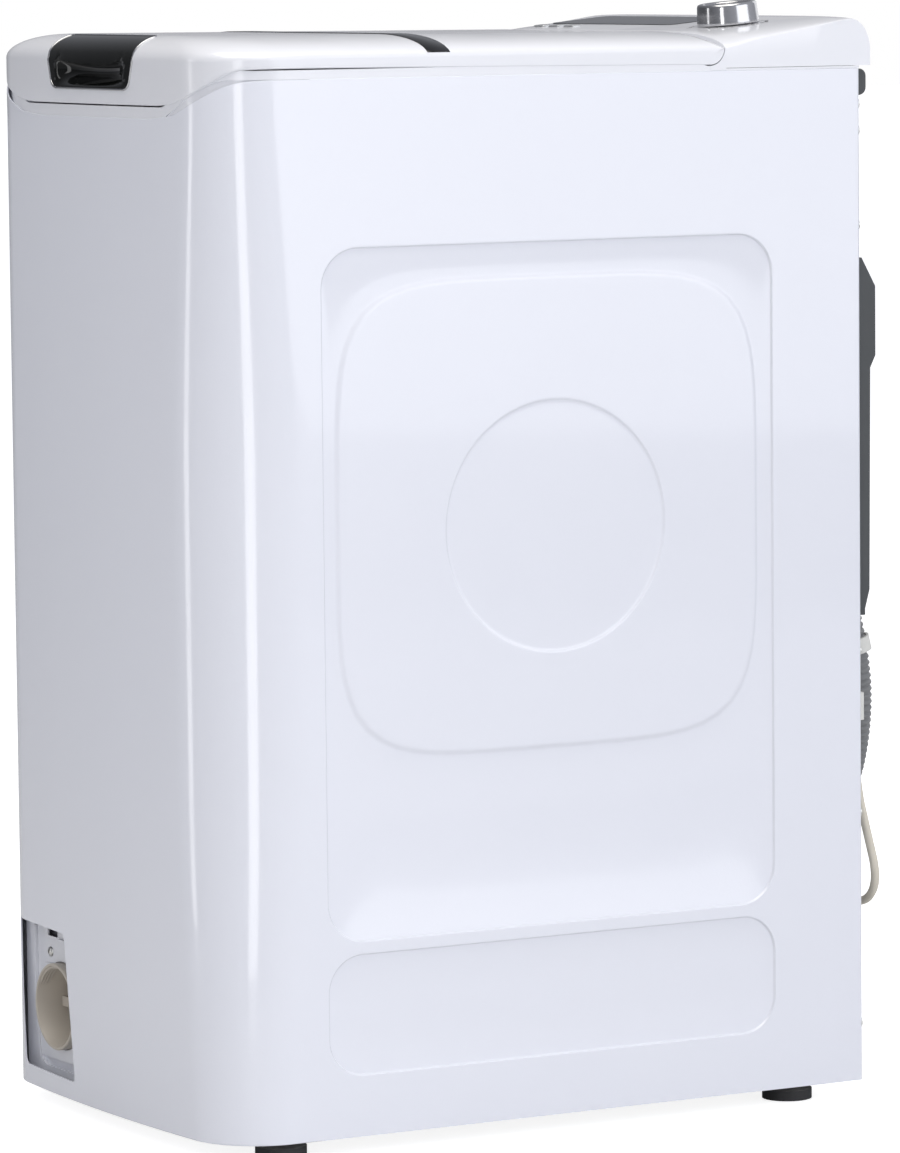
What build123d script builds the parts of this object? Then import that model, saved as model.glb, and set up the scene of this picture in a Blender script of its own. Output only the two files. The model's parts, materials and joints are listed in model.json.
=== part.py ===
from build123d import *
import os
from math import atan2, cos, degrees, hypot, pi, radians, sin, tan

# Narrow top loading washing machine. +X right, -Y front, +Z up, origin on the floor under
# the middle of the case. All lengths in millimetres.

# ---------------------------------------------------------------- driving dimensions
case_half_width = 200.0
case_back = 280.0
case_front = -295.0
front_bow = 5.0
corner_radius = 62.0
sheet = 1.0
foot_height = 14.0
case_top = 824.0
case_front_top = case_top - 30.0
spout_depth = 20.0

lid_side_edge = case_top + 8.0
lid_front_edge = case_front_top + 10.0
lid_crown = case_top + 32.0
lid_side_face_top = case_top + 20.0
lid_wall = 2.5
seam = 0.6
lid_back = case_back - 125.0
lid_knuckle = 13.0

console_front = lid_back + 0.8
console_back = case_back + 10.4
console_base = case_top + 2.3
console_wall = 2.5
console_crest_y = case_back - 8.0
console_crest = case_top + 41.0
console_front_top = case_top + 30.0
console_side_front_top = case_top + 15.5

drum_axis_z = 476.0
drum_radius = 230.0
drum_sheet = 1.2
drum_half_length = 134.0
tub_clearance = 17.5
tub_wall = 4.0
tub_half_length = 150.0
tub_end_wall = 9.0
shaft_radius = 12.5
bearing_radius = 26.0
bearing_width = 15.0
running_gap = 0.05

flap_angle = 20.0
flap_half_length = 104.0
flap_sheet = 1.6
flap_pin_radius = 2.5

pulley_radius = 140.0
pulley_x = -181.0
pulley_width = 12.0
motor_pulley_radius = 12.0
motor_y = 172.0
motor_z = 204.0
motor_radius = 58.0
belt_thickness = 2.6

mouth_half_x = 122.0
mouth_half_y = 114.0
mouth_corner = 30.0
mouth_wall = 3.0
deck_z = case_front_top - 10.0
collar_bottom = deck_z - 20.0
neck_top = collar_bottom - 19.0

filter_x = -110.0
filter_z = 81.0
filter_neck_radius = 35.0
filter_neck_wall = 2.5

pump_y = -180.0
sump_radius = 18.0

knob_x = 120.0
knob_y = case_back - 72.0
knob_radius = 25.0
knob_height = 17.0

inlet_x = -110.0
inlet_z = case_top - 76.0
inlet_thread_radius = 13.2
inlet_thread_length = 14.0

damper_x = 135.0
damper_y = 78.0
damper_rod_radius = 8.0
damper_tube_radius = 13.0

spring_x = 176.0
spring_y = 150.0
spring_coil_radius = 10.0
spring_wire_radius = 1.7
spring_turns = 9
rail_z = case_top - 84.0

gap = 0.3
clear_of_all = lid_crown + 44.0
os.makedirs("parts", exist_ok=True)

# ---------------------------------------------------------------- sizes worked out
tub_inner_radius = drum_radius + tub_clearance
tub_radius = tub_inner_radius + tub_wall
collar_half_x, collar_half_y = mouth_half_x + mouth_wall, mouth_half_y + mouth_wall
console_slope = degrees(atan2(console_crest - console_front_top, console_crest_y - console_front))
pieces = {}


def finish(name, builder):
    """Label a finished piece and write it out."""
    builder.part.label = name
    pieces[name] = builder.part
    export_step(builder.part, f"parts/{name}.step")


def plan(inset, back=case_back, radius=corner_radius):
    """Outline of the case seen from above: rounded bowed front, straight sides, square back."""
    side = case_half_width - inset
    front = case_front + inset
    arc = radius - inset
    with BuildSketch(mode=Mode.PRIVATE) as outline:
        with BuildLine():
            ThreePointArc((-side + arc, front), (0, front - front_bow), (side - arc, front))
            RadiusArc((side - arc, front), (side, front + arc), -arc)
            Polyline((side, front + arc), (side, back), (-side, back), (-side, front + arc))
            RadiusArc((-side, front + arc), (-side + arc, front), -arc)
        make_face()
    return outline.sketch


def slab(inset, low, high, back=case_back):
    """Solid with the case's outline between two heights."""
    with BuildPart(mode=Mode.PRIVATE) as block:
        with BuildSketch(Plane.XY.offset(low)):
            add(plan(inset, back))
        extrude(amount=high - low)
    return block.part


def front_cut(edge, side_edge, top):
    """Everything above the dipped seam line: low over the front, high along the sides."""
    reach = case_half_width + 10
    dip = 118.0
    rise = 62.0
    with BuildPart(mode=Mode.PRIVATE) as block:
        with BuildSketch(Plane.XZ.offset(-case_front - 80)):
            with BuildLine():
                FilletPolyline((-reach, side_edge), (-dip - rise, side_edge), (-dip, edge),
                               (dip, edge), (dip + rise, side_edge), (reach, side_edge), radius=26)
                Polyline((reach, side_edge), (reach, top), (-reach, top), (-reach, side_edge))
            make_face()
        extrude(amount=100)
        with Locations((0, (case_front + 80 + case_back + 60) / 2, (side_edge + top) / 2)):
            Box(2 * reach, case_back + 60 - case_front - 80, top - side_edge)
    return block.part


def box_between(low, high):
    """Solid box from its lowest to its highest corner."""
    size = [b - a for a, b in zip(low, high)]
    with BuildPart(mode=Mode.PRIVATE) as block:
        with Locations(tuple((a + b) / 2 for a, b in zip(low, high))):
            Box(*size)
    return block.part


def rod(start, end, radius):
    """Solid round bar between two points."""
    with BuildPart(mode=Mode.PRIVATE) as bar:
        direction = Vector(*end) - Vector(*start)
        with BuildSketch(Plane(origin=start, z_dir=direction)):
            Circle(radius)
        extrude(amount=direction.length)
    return bar.part


# ---------------------------------------------------------------- case: wrap-around steel sheet
emboss_depth = 1.5
emboss_y = 0.0
emboss_half = 200.0
emboss_low, emboss_mid_low, emboss_mid_high, emboss_high = 61.0, 157.0, 164.0, case_top - 127.0
emboss_corner = 32.0
flange = 15.0
filter_hole = [(-155, 145), (-77, 147), (-63, 31), (-149, 26)]
filter_hole_corner = 12.0
screw_radius = 2.0
screw_head_radius = 4.6
screw_head_height = 2.4
screw_x = case_half_width - 8
screw_heights = [60, 230, 360, 700, case_top - 49, case_top - 28]
screw_spots = [(x, z) for x in (-screw_x, screw_x) for z in screw_heights]
back_plane = Plane.XZ.offset(-case_back - 20)


def side_pockets(grow):
    """Shallow sunk panels on both side walls."""
    with BuildPart(mode=Mode.PRIVATE) as block:
        for side in (-1, 1):
            floor_x = case_half_width - emboss_depth - (sheet if grow else 0)
            with BuildSketch(Plane.YZ.offset(side * floor_x)):
                for low, high in ((emboss_low, emboss_mid_low), (emboss_mid_high, emboss_high)):
                    with Locations((emboss_y, (low + high) / 2)):
                        RectangleRounded(2 * (emboss_half + grow), high - low + 2 * grow,
                                         emboss_corner + grow)
            extrude(amount=side * (emboss_depth + (0.001 if grow else 5)))
    return block.part


with BuildPart() as cabinet_wrap:
    add(slab(0, foot_height, case_top))
    add(side_pockets(0), mode=Mode.SUBTRACT)
    with BuildPart(mode=Mode.PRIVATE) as hollow:
        add(slab(sheet, 0, case_top + 10, case_back - sheet))
        add(side_pockets(sheet), mode=Mode.SUBTRACT)
    add(hollow.part, mode=Mode.SUBTRACT)
    with Locations((0, case_back, case_top / 2)):
        Box(2 * (case_half_width - flange), 40, case_top + 60, mode=Mode.SUBTRACT)
    with BuildSketch(back_plane):
        with Locations(screw_spots):
            Circle(screw_radius + gap)
    extrude(amount=40, mode=Mode.SUBTRACT)
    add(front_cut(case_front_top, case_top, case_top + 40), mode=Mode.SUBTRACT)
    with BuildSketch(Plane.XZ.offset(-case_front - 30)):
        with BuildLine():
            FilletPolyline(*filter_hole, radius=filter_hole_corner, close=True)
        make_face()
    extrude(amount=60, mode=Mode.SUBTRACT)
finish("cabinet_wrap", cabinet_wrap)

# ---------------------------------------------------------------- base tray with foot bosses
tray_top = 58.0
tray_wall = 2.5
stud_radius = 5.0
foot_radius = 20.0
foot_x = case_half_width - 32
foot_spots = [(x, y) for y in (case_front + 63, case_back - 52) for x in (-foot_x, foot_x)]
boss_radius = 15.0
base_inset = sheet + gap
with BuildPart() as base_tray:
    add(slab(base_inset, foot_height + 1, tray_top, case_back - sheet - 2))
    tray_back_edge = case_back - sheet - 2 - tray_wall
    add(slab(base_inset + tray_wall, foot_height + 1 + tray_wall, tray_top + 5, tray_back_edge),
        mode=Mode.SUBTRACT)
    with Locations([(x, y, (foot_height + 1 + tray_top) / 2) for x, y in foot_spots]):
        Cylinder(boss_radius, tray_top - foot_height - 1)
        Cylinder(stud_radius + gap, tray_top, mode=Mode.SUBTRACT)
    with Locations((0, 40, foot_height)):
        Box(200, 260, 20, mode=Mode.SUBTRACT)
    add(box_between((-176, -310, 18), (-46, -250, tray_top + 2)), mode=Mode.SUBTRACT)
    damper_foot_top = 44.0
    with Locations([(x, y, (foot_height + 1 + damper_foot_top) / 2)
                    for x in (-damper_x, damper_x) for y in (-damper_y, damper_y)]):
        Box(26, 30, damper_foot_top - foot_height - 1)
    pump_rest_z = filter_z - filter_neck_radius - 5
    for y in (-236, -152):
        add(box_between((filter_x - 34, y - 6, foot_height + 1), (filter_x + 34, y + 6, pump_rest_z)))
finish("base_tray", base_tray)

# ---------------------------------------------------------------- feet
for name, spots in (("foot_front_left", foot_spots[:1]), ("foot_front_right", foot_spots[1:2]),
                    ("rear_feet", foot_spots[2:])):
    with BuildPart() as foot:
        with Locations([(x, y, 0) for x, y in spots]):
            Cylinder(foot_radius, 8, align=(Align.CENTER, Align.CENTER, Align.MIN))
        with Locations([(x, y, 8) for x, y in spots]):
            Cone(foot_radius, 12, 4, align=(Align.CENTER, Align.CENTER, Align.MIN))
        with Locations([(x, y, 0) for x, y in spots]):
            Cylinder(stud_radius, 50, align=(Align.CENTER, Align.CENTER, Align.MIN))
            with Locations((0, 0, 12)):
                Cylinder(9, foot_height + 1 - 12, align=(Align.CENTER, Align.CENTER, Align.MIN))
    finish(name, foot)

# ---------------------------------------------------------------- back panel and its cover
panel_front = case_back - sheet - 1.2
cover_low, cover_high = 389.0, 674.0
cover_left, cover_right = 12.0 - case_half_width, case_half_width - 4.0
hose_exit_x = 158.0
hose_spout_low = 386.0
with BuildPart() as rear_panel:
    add(box_between((-case_half_width + sheet + gap, panel_front, foot_height + 2),
                    (case_half_width - sheet - gap, case_back - sheet, case_top - 2)))
    with BuildSketch(back_plane):
        with Locations(screw_spots):
            Circle(screw_radius + gap)
        with Locations((inlet_x, inlet_z)):
            Circle(inlet_thread_radius + 1)
        with Locations((0, (cover_low + cover_high) / 2)):
            RectangleRounded(250, cover_high - cover_low - 60, 20)
    extrude(amount=40, mode=Mode.SUBTRACT)
finish("rear_panel", rear_panel)

cover_wall = 2.5
cover_profile = [(case_back + gap, cover_high), (case_back + 4, cover_high), (case_back + 16.8, 651),
                 (case_back + 16.8, 596), (case_back + 11.8, 586), (case_back + 10.5, 409),
                 (case_back + 5, cover_low), (case_back + gap, cover_low)]
with BuildPart() as rear_cover:
    with BuildSketch(Plane.YZ.offset(cover_left)):
        with BuildLine():
            Polyline(*cover_profile, close=True)
        make_face()
    extrude(amount=cover_right - cover_left)
    with BuildSketch(Plane.YZ.offset(cover_left + cover_wall)):
        with BuildLine():
            Polyline(*cover_profile, close=True)
        make_face()
        offset(amount=-cover_wall)
    extrude(amount=cover_right - cover_left - 2 * cover_wall, mode=Mode.SUBTRACT)
    add(box_between((cover_left + 12, case_back, cover_low + 12),
                    (cover_right - 12, case_back + 4, cover_high - 12)), mode=Mode.SUBTRACT)
    add(box_between((hose_exit_x - 17, case_back + gap, hose_spout_low),
                    (hose_exit_x + 17, case_back + spout_depth, cover_low + 16)))
finish("rear_cover", rear_cover)

rail_low, rail_high = case_top - 20.0, case_top - 0.5
with BuildPart() as hose_rail:
    with BuildSketch(Plane.YZ.offset(5 - case_half_width)):
        with BuildLine():
            FilletPolyline((case_back + gap, rail_high), (case_back + 9, rail_high),
                           (case_back + 9, rail_low), (case_back + gap, rail_low - 2), radius=6, close=False)
            Line((case_back + gap, rail_low - 2), (case_back + gap, rail_high))
        make_face()
    extrude(amount=2 * case_half_width - 10)
finish("hose_rail", hose_rail)

with BuildPart() as case_screws:
    for x, z in screw_spots:
        add(rod((x, case_back - 10, z), (x, case_back + 0.05, z), screw_radius))
        add(rod((x, case_back + 0.05, z), (x, case_back + screw_head_height, z), screw_head_radius))
finish("case_screws", case_screws)

# ---------------------------------------------------------------- cross rails that carry the springs
rail_height = 22.0
rail_depth = 16.0
with BuildPart() as cross_rails:
    for y in (-spring_y, spring_y):
        end = case_half_width - sheet - gap
        add(box_between((-end, y - rail_depth / 2, rail_z), (end, y + rail_depth / 2, rail_z + rail_height)))
        half_inside = rail_depth / 2 - 1.5
        add(box_between((-end + 1.5, y - half_inside, rail_z - 1),
                        (end - 1.5, y + half_inside, rail_z + rail_height - 1.5)), mode=Mode.SUBTRACT)
    for x in (-spring_x, spring_x):
        for y in (-spring_y, spring_y):
            add(rod((x, y, rail_z - 8), (x, y, rail_z + rail_height - 1), 5))
finish("cross_rails", cross_rails)

# ---------------------------------------------------------------- top frame under the lid
band_inset = 0.5
skirt_inset = sheet + gap
frame_wall = 3.0
frame_back = case_back - sheet - 2
lock_low = deck_z - 32.0
hinge_z = lid_crown - lid_knuckle - 1
hinge_y = lid_back - lid_knuckle - 0.5
pin_radius = 3.0
lug_half = 4.0
lug_centres = [46.0 - case_half_width, case_half_width - 46.0]
with BuildPart() as top_frame:
    with BuildPart(mode=Mode.PRIVATE) as band:
        add(slab(band_inset, deck_z - 4, case_top + 16))
        add(front_cut(case_front_top + 0.4, case_top + 0.4, clear_of_all), mode=Mode.INTERSECT)
    with BuildPart(mode=Mode.PRIVATE) as skirt:
        add(slab(skirt_inset, deck_z - 12, case_top + 16, frame_back))
    add(skirt.part)
    add(band.part)
    with BuildPart(mode=Mode.PRIVATE) as basin:
        add(slab(skirt_inset + frame_wall, deck_z, lid_crown + 4, lid_back - 8))
    add(basin.part, mode=Mode.SUBTRACT)
    with BuildPart(mode=Mode.PRIVATE) as under:
        add(slab(skirt_inset + frame_wall, deck_z - 84, deck_z - frame_wall, frame_back - frame_wall))
    add(under.part, mode=Mode.SUBTRACT)
    with BuildPart(mode=Mode.PRIVATE) as rear_bay:
        add(box_between((-case_half_width + 8, lid_back, deck_z - 5),
                        (case_half_width - 8, frame_back - frame_wall, case_top - 6)))
    add(rear_bay.part, mode=Mode.SUBTRACT)
    with BuildSketch(Plane.XY.offset(collar_bottom)):
        RectangleRounded(2 * collar_half_x, 2 * collar_half_y, mouth_corner + mouth_wall)
    extrude(amount=deck_z - collar_bottom)
    with BuildSketch(Plane.XY.offset(collar_bottom - 1)):
        RectangleRounded(2 * mouth_half_x, 2 * mouth_half_y, mouth_corner)
    extrude(amount=60, mode=Mode.SUBTRACT)
    add(front_cut(lid_front_edge - seam, lid_side_edge - seam, clear_of_all), mode=Mode.SUBTRACT)
    add(box_between((-300, lid_back - 3, console_base - gap), (300, case_back + 120, clear_of_all)),
        mode=Mode.SUBTRACT)
    add(box_between((-14, -283, deck_z - 10), (14, -272, deck_z + 10)), mode=Mode.SUBTRACT)
    for x, z in screw_spots:
        add(rod((x, frame_back - 20, z), (x, frame_back + 5, z), screw_radius + gap), mode=Mode.SUBTRACT)
    add(rod((-300, hinge_y, hinge_z), (300, hinge_y, hinge_z), lid_knuckle + 1), mode=Mode.SUBTRACT)
    for x in lug_centres:
        add(box_between((x - lug_half, hinge_y - 7, deck_z - frame_wall),
                        (x + lug_half, hinge_y + 7, hinge_z)))
        add(rod((x - lug_half, hinge_y, hinge_z), (x + lug_half, hinge_y, hinge_z), 7))
        add(rod((x - 20, hinge_y, hinge_z), (x + 20, hinge_y, hinge_z), pin_radius + running_gap),
            mode=Mode.SUBTRACT)
finish("top_frame", top_frame)

with BuildPart() as door_lock:
    add(box_between((-28, -286, lock_low), (28, -258, deck_z - frame_wall - 0.1)))
    add(box_between((-12, -281.5, lock_low + 6), (12, -273, deck_z + 5)), mode=Mode.SUBTRACT)
finish("door_lock", door_lock)

# ---------------------------------------------------------------- lid
pillow = [(lid_front_edge - 1, 0), (lid_side_face_top, 0.6), (lid_side_face_top + 5.5, 10),
          (lid_side_face_top + 9, 26), (lid_crown, 62)]
handle_low, handle_wide, handle_high = lid_front_edge + 12, lid_front_edge + 36, lid_front_edge + 66
handle_outline = [(-65, handle_low), (65, handle_low), (75, handle_wide), (72, handle_high),
                  (-72, handle_high), (-75, handle_wide)]
handle_corner = 8.0
handle_wall = 9.0
handle_back_y = -272.0
inlay_front, inlay_back = -114.6, -94.6
inlay_depth = 1.2
liner_z = lid_side_edge + 1.0
liner_thickness = 2.5
tray_front, tray_back = -235.0, -150.0
tray_low = liner_z - 37.5
tray_half = 105.0


def lid_form(shrink):
    """Pillow-topped lid form, drawn in by a wall's thickness where wanted."""
    with BuildPart(mode=Mode.PRIVATE) as form:
        for (low, inset_low), (high, inset_high) in zip(pillow, pillow[1:]):
            for height, inset in ((low, inset_low), (high, inset_high)):
                with BuildSketch(Plane.XY.offset(height - shrink)):
                    add(plan(inset + shrink, lid_back - shrink, max(corner_radius, inset + shrink + 8)))
            loft(ruled=True)
        if shrink:
            add(slab(shrink, pillow[0][0] - shrink - 5, pillow[0][0] - shrink + 0.5, lid_back - shrink))
    return form.part


def handle_block(grow):
    """Block through the lid's front edge where the handle sits."""
    with BuildPart(mode=Mode.PRIVATE) as block:
        with BuildSketch(Plane.XZ.offset(-handle_back_y - grow)):
            with BuildLine():
                FilletPolyline(*handle_outline, radius=handle_corner, close=True)
            make_face()
            if grow:
                offset(amount=grow)
        extrude(amount=40)
    return block.part


lid_outer = lid_form(0)
inlay_box = box_between((-300, inlay_front, lid_side_edge + 8), (300, inlay_back, clear_of_all))
with BuildPart() as lid_shell:
    add(lid_outer)
    add(front_cut(lid_front_edge, lid_side_edge, clear_of_all), mode=Mode.INTERSECT)
    with BuildPart(mode=Mode.PRIVATE) as lid_hollow:
        add(lid_form(lid_wall))
        add(box_between((-300, hinge_y, deck_z - 4), (300, 300, clear_of_all)), mode=Mode.SUBTRACT)
        inner_end = case_half_width - 6
        add(box_between((-inner_end, hinge_y - 1, hinge_z - 30), (inner_end, hinge_y + 1, hinge_z)))
        add(rod((-inner_end, hinge_y, hinge_z), (inner_end, hinge_y, hinge_z), lid_knuckle - lid_wall))
        add(box_between((-300, hinge_y - 2, lid_crown - lid_wall), (300, 300, clear_of_all)),
            mode=Mode.SUBTRACT)
    add(lid_hollow.part, mode=Mode.SUBTRACT)
    with BuildPart(mode=Mode.PRIVATE) as behind_hinge:
        add(box_between((-300, hinge_y, deck_z - 4), (300, 300, clear_of_all)))
        add(rod((-300, hinge_y, hinge_z), (300, hinge_y, hinge_z), lid_knuckle), mode=Mode.SUBTRACT)
    add(behind_hinge.part, mode=Mode.SUBTRACT)
    with BuildPart(mode=Mode.PRIVATE) as groove:
        add(lid_outer)
        add(inlay_box, mode=Mode.INTERSECT)
        add(lid_form(inlay_depth), mode=Mode.SUBTRACT)
    add(groove.part, mode=Mode.SUBTRACT)
    add(handle_block(gap), mode=Mode.SUBTRACT)
    for x in lug_centres:
        for rib in (x - lug_half - 5, x + lug_half + 1):
            add(box_between((rib, hinge_y - 7, liner_z + 1), (rib + 4, hinge_y + 7, lid_crown - lid_wall)))
        add(box_between((x - lug_half - 0.8, hinge_y - 1, deck_z - 4),
                        (x + lug_half + 0.8, lid_back + 5, hinge_z + 10)), mode=Mode.SUBTRACT)
        add(rod((x - 20, hinge_y, hinge_z), (x + 20, hinge_y, hinge_z), pin_radius), mode=Mode.SUBTRACT)
finish("lid_shell", lid_shell)

with BuildPart() as lid_inlay:
    add(groove.part)
    add(box_between((-300, -300, deck_z - 84), (300, 300, lid_side_face_top)), mode=Mode.SUBTRACT)
finish("lid_inlay", lid_inlay)

with BuildPart() as lid_handle:
    add(handle_block(0))
    add(lid_outer, mode=Mode.INTERSECT)
    add(lid_form(handle_wall), mode=Mode.SUBTRACT)
    grip_y, grip_z = case_front - front_bow - 7, lid_front_edge + 23
    add(rod((-52, grip_y, grip_z), (52, grip_y, grip_z), 12.5), mode=Mode.SUBTRACT)
finish("lid_handle", lid_handle)

with BuildPart() as lid_hinge_pins:
    for x in lug_centres:
        add(rod((x - lug_half - 5, hinge_y, hinge_z), (x + lug_half + 5, hinge_y, hinge_z), pin_radius))
finish("lid_hinge_pins", lid_hinge_pins)

with BuildPart() as lid_liner:
    add(slab(lid_wall + 3 * gap, liner_z, liner_z + liner_thickness, hinge_y - lid_knuckle - 2))
    add(box_between((-78, case_front - 15, liner_z - 3),
                    (78, case_front - front_bow + handle_wall + 5, liner_z + 7)), mode=Mode.SUBTRACT)
    with BuildSketch(Plane.XY.offset(liner_z - 1)):
        with Locations((0, -10)):
            RectangleRounded(300, 210, 20)
    extrude(amount=9)
    with BuildSketch(Plane.XY.offset(liner_z - 2)):
        with Locations((0, -10)):
            RectangleRounded(295, 205, 18)
    extrude(amount=7.5, mode=Mode.SUBTRACT)
    for x in (-60, 60):
        add(box_between((x - 8, -268, liner_z + 1), (x + 8, -262, lid_crown - lid_wall - 4)))
    add(box_between((-8, -279, deck_z - 12), (8, -276, liner_z + 1)))
    add(box_between((-8, -280.5, deck_z - 12), (8, -276, deck_z - 8)))
finish("lid_liner", lid_liner)

tray_wall_thickness = 2.2
pocket_low, pocket_high = tray_low + tray_wall_thickness, liner_z - 0.3 - tray_wall_thickness
pocket_edges = [(-tray_half, -38.0), (-38.0, 38.0), (38.0, tray_half)]
with BuildPart() as detergent_tray:
    add(box_between((-tray_half, tray_front, tray_low), (tray_half, tray_back, liner_z - 0.3)))
    for left, right in pocket_edges:
        add(box_between((left + tray_wall_thickness, tray_front - 5, pocket_low),
                        (right - tray_wall_thickness, tray_back - 4, pocket_high)), mode=Mode.SUBTRACT)
    add(box_between((-34, tray_front + 6, pocket_low), (34, tray_front + 8, pocket_low + 10)))
finish("detergent_tray", detergent_tray)

# ---------------------------------------------------------------- console behind the lid
console_ys = [console_front, case_back - 96.5, case_back - 53.8, case_back - 38.0, console_crest_y]
side_tops = [console_side_front_top] + [case_top + rise for rise in (23.6, 30.8, 33.3, 39.5)]
pillow_x = case_half_width - 50.0


def console_profile(middle, shrink):
    """Side view of the console, at its middle or at its ends."""
    rise = (console_crest - console_front_top) / (console_crest_y - console_front)
    tops = [console_front_top + rise * (y - console_front) for y in console_ys] if middle else side_tops
    drop = 0.0 if middle else 1.5
    points = [(y, top - shrink) for y, top in zip(console_ys, tops)]
    points[0] = (console_front + shrink, points[0][1])
    points += [(case_back + 1 - shrink, case_top + 33 - drop - shrink),
               (case_back + 7 - shrink, case_top + 19.6 - shrink / 2),
               (console_back - shrink, case_top + 7.7), (console_back - shrink, console_base - shrink),
               (console_front + shrink, console_base - shrink)]
    return points


def console_form(shrink):
    """Console body lofted from end to end, drawn in by a wall's thickness where wanted."""
    end = case_half_width - 0.4 - shrink
    with BuildPart(mode=Mode.PRIVATE) as form:
        for left, right in ((-end, -pillow_x), (-pillow_x, pillow_x), (pillow_x, end)):
            for x in (left, right):
                with BuildSketch(Plane.YZ.offset(x)):
                    with BuildLine():
                        Polyline(*console_profile(abs(x) <= pillow_x, shrink), close=True)
                    make_face()
            loft(ruled=True)
    return form.part


tilt = radians(console_slope)
console_plane = Plane(origin=(0, console_front, console_front_top), x_dir=(1, 0, 0),
                      z_dir=(0, -sin(tilt), cos(tilt)))
knob_run = (knob_y - console_front) / cos(tilt)
display_left, display_right = -148.0, 46.0
display_front, display_back = 44.0, 100.0
display_thickness = 2.0
display_corner = 8.0
button_xs = [-128.0, -104.0, -80.0]
button_run = 26.0
button_size = (16.0, 9.0)
button_proud = 1.2
board_drop = 17.0
board_thickness = 1.6
with BuildPart() as console:
    add(console_form(0))
    add(console_form(console_wall), mode=Mode.SUBTRACT)
    with BuildSketch(console_plane.offset(-display_thickness)):
        with Locations(((display_left + display_right) / 2, (display_front + display_back) / 2)):
            RectangleRounded(display_right - display_left, display_back - display_front, display_corner)
    extrude(amount=10, mode=Mode.SUBTRACT)
    with BuildSketch(console_plane.offset(-6)):
        with Locations((knob_x, knob_run)):
            Circle(4.5)
        with Locations([(x, button_run) for x in button_xs]):
            RectangleRounded(button_size[0] + 2 * gap, button_size[1] + 2 * gap, 2)
        with Locations(((display_left + display_right) / 2, (display_front + display_back) / 2)):
            Rectangle(90, 30)
    extrude(amount=20, mode=Mode.SUBTRACT)
finish("console", console)

with BuildPart() as display_window:
    with BuildSketch(console_plane.offset(-display_thickness)):
        with Locations(((display_left + display_right) / 2, (display_front + display_back) / 2)):
            RectangleRounded(display_right - display_left - 0.4, display_back - display_front - 0.4,
                             display_corner)
    extrude(amount=display_thickness + 0.4)
finish("display_window", display_window)

post_spots = [(-140, 40), (70, 30), (-140, 102), (140, 102)]
with BuildPart() as control_board:
    with BuildSketch(console_plane.offset(-board_drop)):
        with Locations((0, 66)):
            Rectangle(330, 84)
    extrude(amount=-board_thickness)
    with BuildSketch(console_plane.offset(-board_drop)):
        with Locations(post_spots):
            Circle(3)
    extrude(amount=board_drop - console_wall - 0.1)
    with BuildSketch(console_plane.offset(-board_drop)):
        with Locations((-69, 72)):
            Rectangle(80, 26)
        with Locations((knob_x, knob_run)):
            Circle(13)
        with Locations([(x, button_run) for x in button_xs]):
            Rectangle(6, 6)
    extrude(amount=9)
    with BuildSketch(console_plane.offset(-board_drop - board_thickness - 5)):
        with Locations((knob_x, knob_run)):
            Circle(3.3)
    extrude(amount=40, mode=Mode.SUBTRACT)
finish("control_board", control_board)

with BuildPart() as program_knob:
    with BuildSketch(console_plane.offset(0.5)):
        with Locations((knob_x, knob_run)):
            Circle(knob_radius)
    extrude(amount=knob_height, taper=3)
    fillet(program_knob.edges().filter_by(GeomType.CIRCLE).sort_by(Axis.Z)[-1:], radius=2.5)
    with BuildSketch(console_plane.offset(knob_height + 0.5 - 1.0)):
        with Locations((knob_x, knob_run)):
            Circle(knob_radius - 6)
    extrude(amount=3, mode=Mode.SUBTRACT)
    with BuildSketch(console_plane.offset(0.5)):
        with Locations((knob_x, knob_run)):
            Circle(3)
    extrude(amount=-board_drop + 3)
finish("program_knob", program_knob)

for number, x in enumerate(button_xs, 1):
    with BuildPart() as button:
        with BuildSketch(console_plane.offset(-console_wall - 1.6)):
            with Locations((x, button_run)):
                RectangleRounded(*button_size, 2)
        extrude(amount=console_wall + 1.6 + button_proud)
        fillet(button.edges().group_by(Axis.Z)[-1], radius=0.8)
        with BuildSketch(console_plane.offset(-console_wall - 1.6)):
            with Locations((x, button_run)):
                RectangleRounded(button_size[0] + 3, button_size[1] + 3, 2)
        extrude(amount=1.2)
    finish(f"button_{number}", button)

# ---------------------------------------------------------------- water inlet valve
with BuildPart() as inlet_valve:
    valve_front = case_back - 44
    add(box_between((inlet_x - 17, valve_front, inlet_z - 16), (inlet_x + 17, panel_front - 4, inlet_z + 16)))
    add(rod((inlet_x, panel_front - 4, inlet_z), (inlet_x, panel_front - 0.1, inlet_z),
            inlet_thread_radius + 7))
    add(rod((inlet_x, panel_front - 1, inlet_z),
            (inlet_x, case_back + inlet_thread_length + 1, inlet_z), inlet_thread_radius))
    add(rod((inlet_x, valve_front + 18, inlet_z), (inlet_x, case_back + 30, inlet_z), 8.5),
        mode=Mode.SUBTRACT)
    add(rod((inlet_x + 17, valve_front + 20, inlet_z), (inlet_x + 44, valve_front + 20, inlet_z), 12))
    add(rod((inlet_x, valve_front + 10, inlet_z), (inlet_x, valve_front - 22, inlet_z), 7))
    add(rod((inlet_x, valve_front + 10, inlet_z), (inlet_x, valve_front - 28, inlet_z), 4.5),
        mode=Mode.SUBTRACT)
finish("inlet_valve", inlet_valve)

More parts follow.
